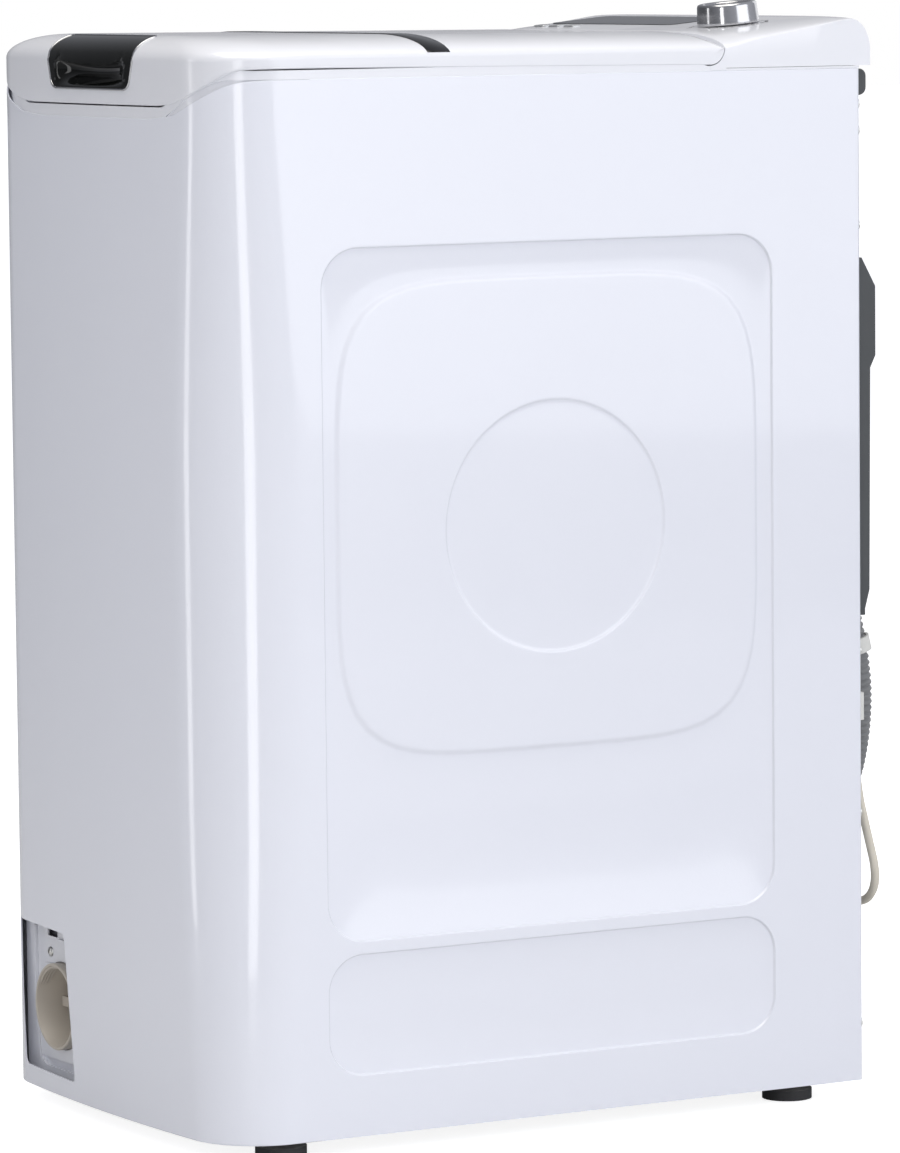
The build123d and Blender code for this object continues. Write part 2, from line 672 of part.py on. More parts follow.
# ---------------------------------------------------------------- pump and lint filter
surround_y = -262.0
surround_thickness = 2.5
pump_front, pump_back = -250.0, -140.0
neck_front = -276.0
cap_y = -262.0
pump_wall = 3.0
surround_screw = (-134.0, 121.8)
with BuildPart() as filter_surround:
    with BuildSketch(Plane.XZ.offset(-surround_y)):
        with BuildLine():
            FilletPolyline((-172, 18.2), (-50, 18.2), (-50, 160), (-172, 160), radius=10, close=True)
        make_face()
        with Locations((filter_x, filter_z)):
            Circle(filter_neck_radius + 0.4, mode=Mode.SUBTRACT)
        with Locations(surround_screw):
            Circle(screw_radius + gap, mode=Mode.SUBTRACT)
        with Locations((-137, 138)):
            SlotOverall(32, 5, mode=Mode.SUBTRACT)
    extrude(amount=surround_thickness)
    for x in (-166, -58):
        add(box_between((x - 2, surround_y - surround_thickness - 2.5, 40), (x + 2, surround_y - 1, 150)))
    add(box_between((-168, surround_y - surround_thickness - 6, 18.2), (-148, surround_y - 1, 44)))
finish("filter_surround", filter_surround)

with BuildPart() as filter_neck:
    add(rod((filter_x, neck_front, filter_z), (filter_x, pump_front - 0.1, filter_z), filter_neck_radius))
    add(rod((filter_x, neck_front - 5, filter_z), (filter_x, pump_front + 5, filter_z),
            filter_neck_radius - filter_neck_wall), mode=Mode.SUBTRACT)
finish("filter_neck", filter_neck)

with BuildPart() as filter_cap:
    cap_radius = filter_neck_radius - filter_neck_wall - gap
    basket_radius = filter_neck_radius - pump_wall - 6
    add(rod((filter_x, cap_y, filter_z), (filter_x, cap_y + 8, filter_z), cap_radius))
    add(box_between((filter_x - 24, cap_y - 8, filter_z - 4), (filter_x + 24, cap_y + 1, filter_z + 4)))
    add(rod((filter_x, cap_y + 8, filter_z), (filter_x, cap_y + 74, filter_z), basket_radius))
    add(rod((filter_x, cap_y + 10, filter_z), (filter_x, cap_y + 80, filter_z), basket_radius - 2.5),
        mode=Mode.SUBTRACT)
    add(box_between((filter_x - 40, cap_y + 20, filter_z - 7), (filter_x + 40, cap_y + 64, filter_z + 7)),
        mode=Mode.SUBTRACT)
finish("filter_cap", filter_cap)

stub_top = filter_z + filter_neck_radius + 20
stub_low = drum_axis_z - 220.0
with BuildPart() as pump_housing:
    add(rod((filter_x, pump_front, filter_z), (filter_x, pump_back, filter_z), filter_neck_radius))
    add(rod((filter_x, pump_y, filter_z), (filter_x, pump_y, stub_top), sump_radius))
    add(rod((filter_x, pump_back - 22, filter_z), (filter_x + 62, pump_back - 22, filter_z + 10), 11))
    add(box_between((filter_x - 34, -241, pump_rest_z + 0.1), (filter_x + 34, -231, filter_z)))
    add(box_between((filter_x - 34, -157, pump_rest_z + 0.1), (filter_x + 34, -147, filter_z)))
    add(rod((filter_x, pump_front - 1, filter_z), (filter_x, pump_back - pump_wall, filter_z),
            filter_neck_radius - pump_wall), mode=Mode.SUBTRACT)
    add(rod((filter_x, pump_y, filter_z), (filter_x, pump_y, stub_top + 1), sump_radius - 2.5),
        mode=Mode.SUBTRACT)
    add(rod((filter_x, pump_back - 22, filter_z), (filter_x + 63, pump_back - 22, filter_z + 10.2), 8.5),
        mode=Mode.SUBTRACT)
    add(rod((filter_x, pump_back - 5, filter_z), (filter_x, pump_back + 1, filter_z), 3 + running_gap),
        mode=Mode.SUBTRACT)
finish("pump_housing", pump_housing)

with BuildPart() as pump_motor:
    add(rod((filter_x, pump_back + 0.1, filter_z), (filter_x, pump_back + 46, filter_z), 27))
    add(box_between((filter_x - 16, pump_back + 8, filter_z + 10),
                    (filter_x + 16, pump_back + 40, filter_z + 40)))
    add(rod((filter_x, pump_back - 1, filter_z), (filter_x, pump_back + 32, filter_z), 3 + running_gap),
        mode=Mode.SUBTRACT)
finish("pump_motor", pump_motor)

with BuildPart() as pump_impeller:
    add(rod((filter_x, pump_back - 14, filter_z), (filter_x, pump_back + 30, filter_z), 3))
    add(rod((filter_x, pump_back - 8, filter_z), (filter_x, pump_back - 5, filter_z), 22))
    for turn in range(4):
        blade = Plane(origin=(filter_x, pump_back - 8, filter_z), x_dir=(cos(turn * radians(90)), 0,
                      sin(turn * radians(90))), z_dir=(0, -1, 0))
        with BuildSketch(blade):
            with Locations((11, 0)):
                Rectangle(22, 2)
        extrude(amount=12)
finish("pump_impeller", pump_impeller)

with BuildPart() as sump_hose:
    for low, high, outer in ((stub_top - 16, stub_top + 4, 2.6), (stub_top + 4, stub_low - 4, 1.2),
                             (stub_low - 4, stub_low + 16, 2.6)):
        add(rod((filter_x, pump_y, low), (filter_x, pump_y, high), sump_radius + gap + outer + 1))
    fold = stub_top + 16
    while fold < stub_low - 10:
        with Locations((filter_x, pump_y, fold)):
            Cylinder(sump_radius + 6, 6)
        fold += 14
    add(rod((filter_x, pump_y, stub_top - 20), (filter_x, pump_y, stub_low + 20), sump_radius + gap),
        mode=Mode.SUBTRACT)
finish("sump_hose", sump_hose)

# ---------------------------------------------------------------- tub
axis_left, axis_right = (-300, 0, drum_axis_z), (300, 0, drum_axis_z)
tub_space = rod((-tub_half_length - 1, 0, drum_axis_z), (tub_half_length + 1, 0, drum_axis_z),
                tub_inner_radius)
damper_tube_top = drum_axis_z - 250.0
with BuildPart() as tub_shell:
    add(rod((-tub_half_length, 0, drum_axis_z), (tub_half_length, 0, drum_axis_z), tub_radius))
    with BuildSketch(Plane.XY.offset(drum_axis_z + 200)):
        RectangleRounded(2 * collar_half_x, 2 * collar_half_y, mouth_corner + mouth_wall)
    extrude(amount=neck_top - drum_axis_z - 200)
    add(rod((filter_x, pump_y, stub_low), (filter_x, pump_y, drum_axis_z - 140), sump_radius))
    for x in (-damper_x, damper_x):
        for y in (-damper_y, damper_y):
            add(box_between((x - 13, y - 13, damper_tube_top + 0.1), (x + 13, y + 13, drum_axis_z - 200)))
    add(tub_space, mode=Mode.SUBTRACT)
    with BuildSketch(Plane.XY.offset(drum_axis_z + 150)):
        RectangleRounded(2 * mouth_half_x, 2 * mouth_half_y, mouth_corner)
    extrude(amount=200, mode=Mode.SUBTRACT)
    add(rod((filter_x, pump_y, stub_low - 1), (filter_x, pump_y, drum_axis_z - 140), sump_radius - 2.5),
        mode=Mode.SUBTRACT)
finish("tub_shell", tub_shell)

hub_radius = 38.0
hub_end = 174.0
bearing_start = 157.0
ear_z = drum_axis_z + 164.0
heater_z = drum_axis_z - 239.0
for name, side in (("tub_end_left", -1), ("tub_end_right", 1)):
    with BuildPart() as tub_end:
        wall_start, wall_end = side * tub_half_length, side * (tub_half_length + tub_end_wall)
        add(rod((wall_start, 0, drum_axis_z), (wall_end, 0, drum_axis_z), tub_radius))
        add(rod((wall_start, 0, drum_axis_z), (side * hub_end, 0, drum_axis_z), hub_radius))
        for turn in range(8):
            angle = radians(22.5 + 45 * turn)
            outwards = (0, cos(angle), sin(angle))
            rib = Plane(origin=(wall_end, 0, drum_axis_z), x_dir=outwards, z_dir=(side, 0, 0))
            with BuildSketch(rib):
                with Locations((130, 0)):
                    Rectangle(230, 5)
            extrude(amount=6)
        for y in (-spring_y, spring_y):
            low, high = sorted((wall_end, side * (spring_x + 9)))
            add(box_between((low, y - 9, ear_z - 12), (high, y + 9, ear_z)))
            add(rod((side * spring_x, y, ear_z - 2), (side * spring_x, y, ear_z + 6), 6))
        add(rod((side * (tub_half_length - 1), 0, drum_axis_z), (side * (hub_end + 1), 0, drum_axis_z),
                shaft_radius + 2), mode=Mode.SUBTRACT)
        add(rod((side * bearing_start, 0, drum_axis_z), (side * (hub_end + 1), 0, drum_axis_z),
                bearing_radius), mode=Mode.SUBTRACT)
        if side > 0:
            add(box_between((tub_half_length - 1, -34, heater_z - 6), (200, 34, heater_z + 6)),
                mode=Mode.SUBTRACT)
    finish(name, tub_end)

with BuildPart() as drum_bearings:
    for side in (-1, 1):
        start, end = side * bearing_start, side * (bearing_start + bearing_width)
        add(rod((start, 0, drum_axis_z), (end, 0, drum_axis_z), bearing_radius))
        add(rod((start - side, 0, drum_axis_z), (end + side, 0, drum_axis_z), shaft_radius + running_gap),
            mode=Mode.SUBTRACT)
finish("drum_bearings", drum_bearings)

heater_radius = 3.5
heater_half = 24.0
with BuildPart() as heater:
    with BuildLine(Plane.XY.offset(heater_z)):
        Line((tub_half_length + 14, heater_half), (-90, heater_half))
        ThreePointArc((-90, heater_half), (-90 - heater_half, 0), (-90, -heater_half))
        Line((-90, -heater_half), (tub_half_length + 14, -heater_half))
    with BuildSketch(Plane(origin=(tub_half_length + 14, heater_half, heater_z), z_dir=(-1, 0, 0))):
        Circle(heater_radius)
    sweep()
    add(box_between((tub_half_length + 1, -33.7, heater_z - 5.7),
                    (tub_half_length + tub_end_wall - 0.5, 33.7, heater_z + 5.7)))
finish("heater", heater)

with BuildPart() as counterweights:
    for side in (-1, 1):
        low, high = sorted((side * 148, side * 268))
        add(box_between((-118, low, drum_axis_z + 164), (118, high, drum_axis_z + 240)))
    add(rod(axis_left, axis_right, tub_radius + 0.1), mode=Mode.SUBTRACT)
finish("counterweights", counterweights)

with BuildPart() as damper_tubes:
    for x in (-damper_x, damper_x):
        for y in (-damper_y, damper_y):
            add(rod((x, y, damper_tube_top - 106), (x, y, damper_tube_top), damper_tube_radius))
            add(rod((x, y, damper_tube_top - 116), (x, y, damper_tube_top - 10), damper_rod_radius + gap),
                mode=Mode.SUBTRACT)
finish("damper_tubes", damper_tubes)

with BuildPart() as damper_rods:
    for x in (-damper_x, damper_x):
        for y in (-damper_y, damper_y):
            add(rod((x, y, damper_foot_top + 0.1), (x, y, damper_tube_top - 31), damper_rod_radius))
finish("damper_rods", damper_rods)

spring_low, spring_high = ear_z + spring_wire_radius, rail_z - spring_wire_radius
with BuildPart() as suspension_springs:
    for x in (-spring_x, spring_x):
        for y in (-spring_y, spring_y):
            height = spring_high - spring_low
            coil = Helix(height / spring_turns, height, spring_coil_radius, center=(x, y, spring_low))
            with BuildSketch(Plane(origin=coil @ 0, z_dir=coil % 0)):
                Circle(spring_wire_radius)
            sweep(path=coil, is_frenet=True)
finish("suspension_springs", suspension_springs)

bellows_wall = 2.0
with BuildPart() as bellows:
    inner_x, inner_y = mouth_half_x + mouth_wall + gap, mouth_half_y + mouth_wall + gap
    inner_corner = mouth_corner + mouth_wall + gap
    for low, high, swell in ((neck_top - 9, collar_bottom + 9, bellows_wall),
                             ((neck_top + collar_bottom) / 2 - 5, (neck_top + collar_bottom) / 2 + 5, 7)):
        with BuildSketch(Plane.XY.offset(low)):
            RectangleRounded(2 * (inner_x + swell), 2 * (inner_y + swell), inner_corner + swell)
        extrude(amount=high - low)
    with BuildSketch(Plane.XY.offset(neck_top - 20)):
        RectangleRounded(2 * inner_x, 2 * inner_y, inner_corner)
    extrude(amount=60, mode=Mode.SUBTRACT)
finish("bellows", bellows)

# ---------------------------------------------------------------- drum
hinge_angle = radians(flap_angle + 1.3)
flap_hinge_y = (drum_radius - 0.6) * sin(hinge_angle)
flap_hinge_z = drum_axis_z + (drum_radius - 0.6) * cos(hinge_angle)
opening_half_y = drum_radius * sin(radians(flap_angle + 2.5))
knuckle_radius = 4.2
with BuildPart() as drum_shell:
    add(rod((-drum_half_length, 0, drum_axis_z), (drum_half_length, 0, drum_axis_z), drum_radius))
    add(rod((-drum_half_length - 1, 0, drum_axis_z), (drum_half_length + 1, 0, drum_axis_z),
            drum_radius - drum_sheet), mode=Mode.SUBTRACT)
    opening_half_x = flap_half_length + 1
    add(box_between((-opening_half_x, -opening_half_y, drum_axis_z + 150),
                    (opening_half_x, opening_half_y, drum_axis_z + 300)), mode=Mode.SUBTRACT)
    for side in (-1, 1):
        y = side * flap_hinge_y
        pin_end, knuckle_start = flap_half_length + 8, flap_half_length + 0.5
        add(rod((-pin_end, y, flap_hinge_z), (pin_end, y, flap_hinge_z), flap_pin_radius))
        for low, high in ((-pin_end, -knuckle_start), (knuckle_start, pin_end)):
            add(rod((low, y, flap_hinge_z), (high, y, flap_hinge_z), knuckle_radius))
finish("drum_shell", drum_shell)

for name, side in (("flap_front", -1), ("flap_rear", 1)):
    with BuildPart() as flap:
        with BuildSketch(Plane.YZ.offset(-flap_half_length)):
            with Locations((0, drum_axis_z)):
                Circle(drum_radius)
                Circle(drum_radius - flap_sheet, mode=Mode.SUBTRACT)
            with BuildLine():
                far = drum_radius * 1.5
                low, high = radians(0.15), radians(flap_angle + 0.7)
                Polyline((0, drum_axis_z), (side * far * sin(low), drum_axis_z + far * cos(low)),
                         (side * far * sin(high), drum_axis_z + far * cos(high)), close=True)
            make_face(mode=Mode.INTERSECT)
            edge_low, edge_high = sorted((side * 0.7, side * 2.3))
            with BuildLine():
                lip_low, lip_high = drum_axis_z + drum_radius - 9, drum_axis_z + drum_radius - 0.5
                Polyline((edge_low, lip_low), (edge_high, lip_low),
                         (edge_high, lip_high), (edge_low, lip_high), close=True)
            make_face()
            with Locations((side * flap_hinge_y, flap_hinge_z)):
                Circle(knuckle_radius)
                Circle(flap_pin_radius + running_gap, mode=Mode.SUBTRACT)
        extrude(amount=2 * flap_half_length)
        with Locations((0, side * 14, drum_axis_z + drum_radius - 0.6)):
            Box(46, 16, 2.4) if side < 0 else Box(30, 10, 2.0)
    finish(name, flap)

end_radius = drum_radius - drum_sheet - 0.1
with BuildPart() as drum_ends:
    for side in (-1, 1):
        disc_inside, disc_outside = side * (drum_half_length - 2.2), side * (drum_half_length - 0.2)
        add(rod((disc_inside, 0, drum_axis_z), (disc_outside, 0, drum_axis_z), end_radius))
        add(rod((disc_outside, 0, drum_axis_z), (side * (drum_half_length + 4), 0, drum_axis_z), 70))
        bore_start, bore_end = side * (drum_half_length - 5), side * (drum_half_length + 5)
        add(rod((bore_start, 0, drum_axis_z), (bore_end, 0, drum_axis_z), shaft_radius), mode=Mode.SUBTRACT)
finish("drum_ends", drum_ends)

shaft_end_left, shaft_end_right = pulley_x - pulley_width / 2 - 5, hub_end + 2
with BuildPart() as drum_shafts:
    for side, end in ((-1, shaft_end_left), (1, shaft_end_right)):
        add(rod((side * (drum_half_length - 2), 0, drum_axis_z), (end, 0, drum_axis_z), shaft_radius))
        flange_inside, flange_outside = side * (drum_half_length + 4.1), side * (drum_half_length + 11)
        add(rod((flange_inside, 0, drum_axis_z), (flange_outside, 0, drum_axis_z), 36))
finish("drum_shafts", drum_shafts)

with BuildPart() as drum_pulley:
    low, high = pulley_x - pulley_width / 2, pulley_x + pulley_width / 2
    add(rod((low, 0, drum_axis_z), (high, 0, drum_axis_z), pulley_radius))
    add(rod((low - 1, 0, drum_axis_z), (high + 1, 0, drum_axis_z), pulley_radius - 8), mode=Mode.SUBTRACT)
    add(rod((low, 0, drum_axis_z), (high - 2, 0, drum_axis_z), 24))
    for turn in range(5):
        angle = radians(90 + 72 * turn)
        spoke = Plane(origin=(low + 3, 0, drum_axis_z), x_dir=(0, cos(angle), sin(angle)), z_dir=(1, 0, 0))
        with BuildSketch(spoke):
            with Locations(((pulley_radius - 4) / 2 + 8, 0)):
                Rectangle(pulley_radius - 12, 14)
        extrude(amount=5)
    add(rod((low - 5, 0, drum_axis_z), (high + 5, 0, drum_axis_z), shaft_radius), mode=Mode.SUBTRACT)
finish("drum_pulley", drum_pulley)

lifter_height = 34.0
with BuildPart() as drum_lifters:
    for angle in (110, 180, 250):
        place = Plane(origin=(-118, 0, drum_axis_z), x_dir=(0, cos(radians(angle)), -sin(radians(angle))),
                      z_dir=(1, 0, 0))
        with BuildSketch(place):
            with BuildLine():
                crest = drum_radius - lifter_height
                FilletPolyline((-34, drum_radius), (-12, crest), (12, crest), (34, drum_radius),
                               radius=6, close=False)
                Line((34, drum_radius), (-34, drum_radius))
            make_face()
        extrude(amount=236)
    add(rod((-130, 0, drum_axis_z), (130, 0, drum_axis_z), end_radius), mode=Mode.INTERSECT)
finish("drum_lifters", drum_lifters)

# ---------------------------------------------------------------- drive
with BuildPart() as drive_belt:
    with BuildSketch(Plane.YZ.offset(pulley_x - 4.5)):
        with Locations((0, drum_axis_z)):
            Circle(pulley_radius + gap + belt_thickness)
        with Locations((motor_y, motor_z)):
            Circle(motor_pulley_radius + gap + belt_thickness)
        make_hull()
    extrude(amount=9)
    with BuildSketch(Plane.YZ.offset(pulley_x - 6)):
        with Locations((0, drum_axis_z)):
            Circle(pulley_radius + gap)
        with Locations((motor_y, motor_z)):
            Circle(motor_pulley_radius + gap)
        make_hull()
    extrude(amount=12, mode=Mode.SUBTRACT)
finish("drive_belt", drive_belt)

motor_left, motor_right = -118.0, -6.0
axis_distance = hypot(motor_y, drum_axis_z - motor_z)
armature_radius = 30.0
motor_shaft_radius = 6.0
to_tub = Plane(origin=(motor_left + 8, motor_y, motor_z), x_dir=(0, -motor_y / axis_distance,
               (drum_axis_z - motor_z) / axis_distance), z_dir=(1, 0, 0))
with BuildPart() as motor_stator:
    add(rod((motor_left, motor_y, motor_z), (motor_right, motor_y, motor_z), motor_radius))
    for reach in (0, 78):
        with BuildSketch(to_tub.offset(reach)):
            with Locations((axis_distance / 4, 0)):
                Rectangle(axis_distance / 2, 46)
        extrude(amount=10)
    add(rod(axis_left, axis_right, tub_radius + 0.1), mode=Mode.SUBTRACT)
    add(rod((motor_left + 6, motor_y, motor_z), (motor_right - 6, motor_y, motor_z), armature_radius + 1.5),
        mode=Mode.SUBTRACT)
    add(rod((motor_left - 5, motor_y, motor_z), (motor_right + 5, motor_y, motor_z),
            motor_shaft_radius + running_gap), mode=Mode.SUBTRACT)
finish("motor_stator", motor_stator)

with BuildPart() as motor_rotor:
    add(rod((pulley_x - 7, motor_y, motor_z), (motor_right + 3, motor_y, motor_z), motor_shaft_radius))
    add(rod((motor_left + 16, motor_y, motor_z), (motor_right - 16, motor_y, motor_z), armature_radius))
    add(rod((pulley_x - 7, motor_y, motor_z), (pulley_x + 7, motor_y, motor_z), motor_pulley_radius))
finish("motor_rotor", motor_rotor)

# ---------------------------------------------------------------- back fittings and cords
cord_radius = 3.5
hose_radius = 12.0
gland_x = 178.0
gland_high, gland_low = 325.0, 303.0
strain_length = 22.0
cord_depth = 286.5
saddle = (75.0, 300.0)
saddle_radius = 28.0
clip_gap = 0.3
panel_seat = case_back - sheet + gap
with BuildPart() as cord_gland:
    add(box_between((gland_x - 9, case_back + gap, gland_low), (gland_x + 9, case_back + 12, gland_high)))
    fillet(cord_gland.edges().filter_by(Axis.Z), radius=3)
    add(box_between((gland_x - 9, panel_seat, gland_low), (gland_x + 5, case_back + 4, gland_high)))
    with BuildSketch(Plane.XY.offset(gland_low)):
        with Locations((gland_x, cord_depth)):
            Circle(5.6)
    with BuildSketch(Plane.XY.offset(gland_low - strain_length)):
        with Locations((gland_x, cord_depth)):
            Circle(4.2)
    loft()
    relief_end = gland_low - strain_length
    add(rod((gland_x, cord_depth, gland_low - 8), (gland_x, cord_depth, relief_end - 5), cord_radius),
        mode=Mode.SUBTRACT)
finish("cord_gland", cord_gland)

hose_points = [(158, 292.5, 386), (158, 303, 345), (150, 308, 292), (128, 311, 243), (92, 312, 205),
               (45, 311, 183), (-8, 310, 176), (-60, 311, 186), (-104, 311, 211), (-138, 309, 250),
               (-154, 305, 299), (-157, 300, 345)]
cord_points = [(178, 286.5, 295), (179, 287.5, 253), (184, 295, 212), (186, 304, 173.5),
               (162.5, 309, 150.3), (129.5, 308, 150.3), (106.5, 301, 173.5), (108, 291.5, 215),
               (113, 288, 262), (114.7, 288, 316.5), (91.5, 288, 339.7), (58.5, 288, 339.7),
               (35.3, 288, 316.5), (38, 288.5, 268), (41, 289.5, 213), (40, 292, 158), (37, 296, 112),
               (27, 300, 74), (7, 304, 41), (-20, 308, 16), (-58, 312, 3.8)]
tail_points = [(-98, 311, 12.5), (-112, 310.8, 15.5), (-128, 312, 18)]


def cord_tube(points, radius):
    """Round tube along straight runs joined by arcs, each arc as large as its runs allow."""
    route = [Vector(*point) for point in points]
    runs = [b - a for a, b in zip(route, route[1:])]
    bends = []
    for before, after in zip(runs, runs[1:]):
        half_turn = radians(before.get_angle(after)) / 2
        bends.append(0.45 * min(before.length, after.length) / tan(half_turn))
    print("tightest arcs", [round(bend) for bend in sorted(bends)[:4]])
    with BuildPart(mode=Mode.PRIVATE) as tube:
        with BuildLine() as path:
            FilletPolyline(*points, radius=bends)
        with BuildSketch(Plane(origin=path.line @ 0, z_dir=path.line % 0)):
            Circle(radius)
        sweep(path=path.line)
    length = sum(edge.length for edge in path.edges())
    share = tube.part.volume / (pi * radius ** 2 * length)
    print("length", round(length), "volume over section times length", share)
    return tube.part


with BuildPart() as drain_hose:
    add(cord_tube(hose_points, hose_radius))
finish("drain_hose", drain_hose)

hose_end = Vector(*hose_points[-1])
hose_aim = (hose_end - Vector(*hose_points[-2])).normalized()
with BuildPart() as drain_cuff:
    cuff_end = hose_end + hose_aim * 38
    add(rod(tuple(hose_end), tuple(cuff_end), hose_radius + 2))
    add(rod(tuple(hose_end + hose_aim * 6), tuple(cuff_end + hose_aim), hose_radius - 2), mode=Mode.SUBTRACT)
finish("drain_cuff", drain_cuff)

clip_height = 12.0
with BuildPart() as hose_clips:
    for index, share in ((0, 0.62), (len(hose_points) - 2, 0.7)):
        a, b = Vector(*hose_points[index]), Vector(*hose_points[index + 1])
        aim = (b - a).normalized()
        middle = a + (b - a) * share
        start, end = middle - aim * (clip_height / 2), middle + aim * (clip_height / 2)
        add(box_between((middle.X - 9, panel_seat, middle.Z - clip_height / 2),
                        (middle.X + 9, middle.Y, middle.Z + clip_height / 2)))
        add(rod(tuple(start), tuple(end), hose_radius + clip_gap + 2))
        add(rod(tuple(start - aim * 9), tuple(end + aim * 9), hose_radius + clip_gap), mode=Mode.SUBTRACT)
    add(rod((saddle[0], panel_seat, saddle[1]), (saddle[0], case_back + 13, saddle[1]), saddle_radius))
    flange_start, flange_end = case_back + 12.9, case_back + 15
    add(rod((saddle[0], flange_start, saddle[1]), (saddle[0], flange_end, saddle[1]), saddle_radius + 8))
finish("hose_clips", hose_clips)

with BuildPart() as mains_cord:
    add(cord_tube(cord_points, cord_radius))
    add(cord_tube(tail_points, cord_radius))
finish("mains_cord", mains_cord)

plug_radius = 18.0
plug_length = 38.0
with BuildPart() as mains_plug:
    rear = Vector(*tail_points[-1])
    add(rod((rear.X, rear.Y, rear.Z + 0.2), (rear.X - 12, rear.Y, rear.Z + 0.2), 7))
    add(rod((rear.X - 12, rear.Y, rear.Z + 0.2), (rear.X - plug_length, rear.Y, rear.Z + 0.2), plug_radius))
    for side in (-9.5, 9.5):
        pin_y, pin_root = rear.Y + side, rear.X - plug_length
        add(rod((pin_root, pin_y, rear.Z), (pin_root - 19, pin_y, rear.Z), 2.4))
finish("mains_plug", mains_plug)

coil_centre = (-70.0, 352.0)
coil_radius = 40.0
with BuildPart() as mains_coil:
    with Locations((*coil_centre, 0.2)):
        Cylinder(coil_radius + 7, 14, align=(Align.CENTER, Align.CENTER, Align.MIN))
        Cylinder(coil_radius - 7, 14, align=(Align.CENTER, Align.CENTER, Align.MIN), mode=Mode.SUBTRACT)
finish("mains_coil", mains_coil)
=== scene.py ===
# Narrow top loading washing machine: its looks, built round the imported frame. Metres throughout.
import json
import math

import bpy
from mathutils import Matrix, Vector


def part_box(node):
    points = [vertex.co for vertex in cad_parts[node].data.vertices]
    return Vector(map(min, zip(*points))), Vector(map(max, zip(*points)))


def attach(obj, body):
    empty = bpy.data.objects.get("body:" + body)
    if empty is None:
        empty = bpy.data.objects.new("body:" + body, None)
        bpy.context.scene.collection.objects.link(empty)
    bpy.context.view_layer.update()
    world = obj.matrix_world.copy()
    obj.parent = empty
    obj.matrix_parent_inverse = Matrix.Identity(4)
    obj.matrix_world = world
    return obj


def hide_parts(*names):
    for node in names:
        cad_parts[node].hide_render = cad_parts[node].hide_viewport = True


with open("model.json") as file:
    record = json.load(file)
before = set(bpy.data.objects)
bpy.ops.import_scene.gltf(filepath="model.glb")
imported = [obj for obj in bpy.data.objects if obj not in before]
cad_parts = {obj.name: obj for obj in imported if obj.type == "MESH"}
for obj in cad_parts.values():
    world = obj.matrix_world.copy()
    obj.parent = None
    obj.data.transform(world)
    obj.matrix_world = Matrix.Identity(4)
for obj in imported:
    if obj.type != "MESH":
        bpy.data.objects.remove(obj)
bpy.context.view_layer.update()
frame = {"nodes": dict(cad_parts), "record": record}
bpy.ops.object.select_all(action="DESELECT")

MM = 0.001


# ---------------------------------------------------------------- camera
camera_place = Vector((4.4208, -2.4725, 0.9225))
look_azimuth, look_pitch, look_roll = (math.radians(a) for a in (60.619, -5.670, -0.564))
forward = Vector((-math.sin(look_azimuth) * math.cos(look_pitch),
                  math.cos(look_azimuth) * math.cos(look_pitch), math.sin(look_pitch)))
level_right = forward.cross(Vector((0, 0, 1))).normalized()
right = math.cos(look_roll) * level_right + math.sin(look_roll) * level_right.cross(forward)
up = right.cross(forward)
camera = bpy.data.objects.new("camera", bpy.data.cameras.new("camera"))
camera.data.lens = 198.0
camera.data.sensor_width = 36.0
camera.data.clip_start, camera.data.clip_end = 0.05, 60.0
camera.matrix_world = Matrix.Translation(camera_place) @ Matrix((right, up, -forward)).transposed().to_4x4()
bpy.context.scene.collection.objects.link(camera)
bpy.context.scene.camera = camera


# ---------------------------------------------------------------- small modelling tools
def pick(piece):
    """Select one piece alone and make it the active one."""
    bpy.ops.object.select_all(action="DESELECT")
    piece.select_set(True)
    bpy.context.view_layer.objects.active = piece
    return piece


def modify(piece, kind, **values):
    """Add a modifier and apply it."""
    pick(piece)
    modifier = piece.modifiers.new(kind.lower(), kind)
    for key, value in values.items():
        setattr(modifier, key, value)
    bpy.ops.object.modifier_apply(modifier=modifier.name)
    return piece


def edit(piece, *steps):
    """Run edit-mode operators over the whole piece."""
    pick(piece)
    bpy.ops.object.mode_set(mode="EDIT")
    bpy.ops.mesh.select_all(action="SELECT")
    for step in steps:
        step()
    bpy.ops.object.mode_set(mode="OBJECT")
    return piece


def smooth(piece, angle):
    """Shade smoothly, with edges sharper than an angle in degrees left sharp."""
    pick(piece)
    bpy.ops.object.shade_smooth_by_angle(angle=math.radians(angle), keep_sharp_edges=False)
    return piece


def lattice(name, rows, inside_out=False):
    """A sheet from a primitive grid whose crossings are moved to the given rows of points."""
    count, across = len(rows), len(rows[0])
    bpy.ops.mesh.primitive_grid_add(x_subdivisions=across - 1, y_subdivisions=count - 1, size=1)
    piece = bpy.context.active_object
    piece.name = piece.data.name = name
    corners = sorted(piece.data.vertices, key=lambda v: (round(v.co.y, 5), round(v.co.x, 5)))
    for vertex, place in zip(corners, (point for row in rows for point in row)):
        vertex.co = place
    steps = [lambda: bpy.ops.mesh.remove_doubles(threshold=0.00001)]
    if inside_out:
        steps.append(bpy.ops.mesh.flip_normals)
    return edit(piece, *steps)


def loop(points):
    """A row that ends where it starts."""
    return list(points) + [points[0]]


def join(name, *parts):
    """Several sheets made into one piece, sewn where their edges meet."""
    bpy.ops.object.select_all(action="DESELECT")
    for part in parts:
        part.select_set(True)
    bpy.context.view_layer.objects.active = parts[0]
    bpy.ops.object.join()
    piece = bpy.context.active_object
    piece.name = piece.data.name = name
    return edit(piece, lambda: bpy.ops.mesh.remove_doubles(threshold=0.00002))


def face_out(piece):
    """Turn all faces outwards."""
    return edit(piece, lambda: bpy.ops.mesh.normals_make_consistent(inside=False))


def thicken(piece, thickness):
    """Give a sheet its thickness, inwards from its face."""
    return modify(piece, "SOLIDIFY", thickness=thickness, offset=-1)


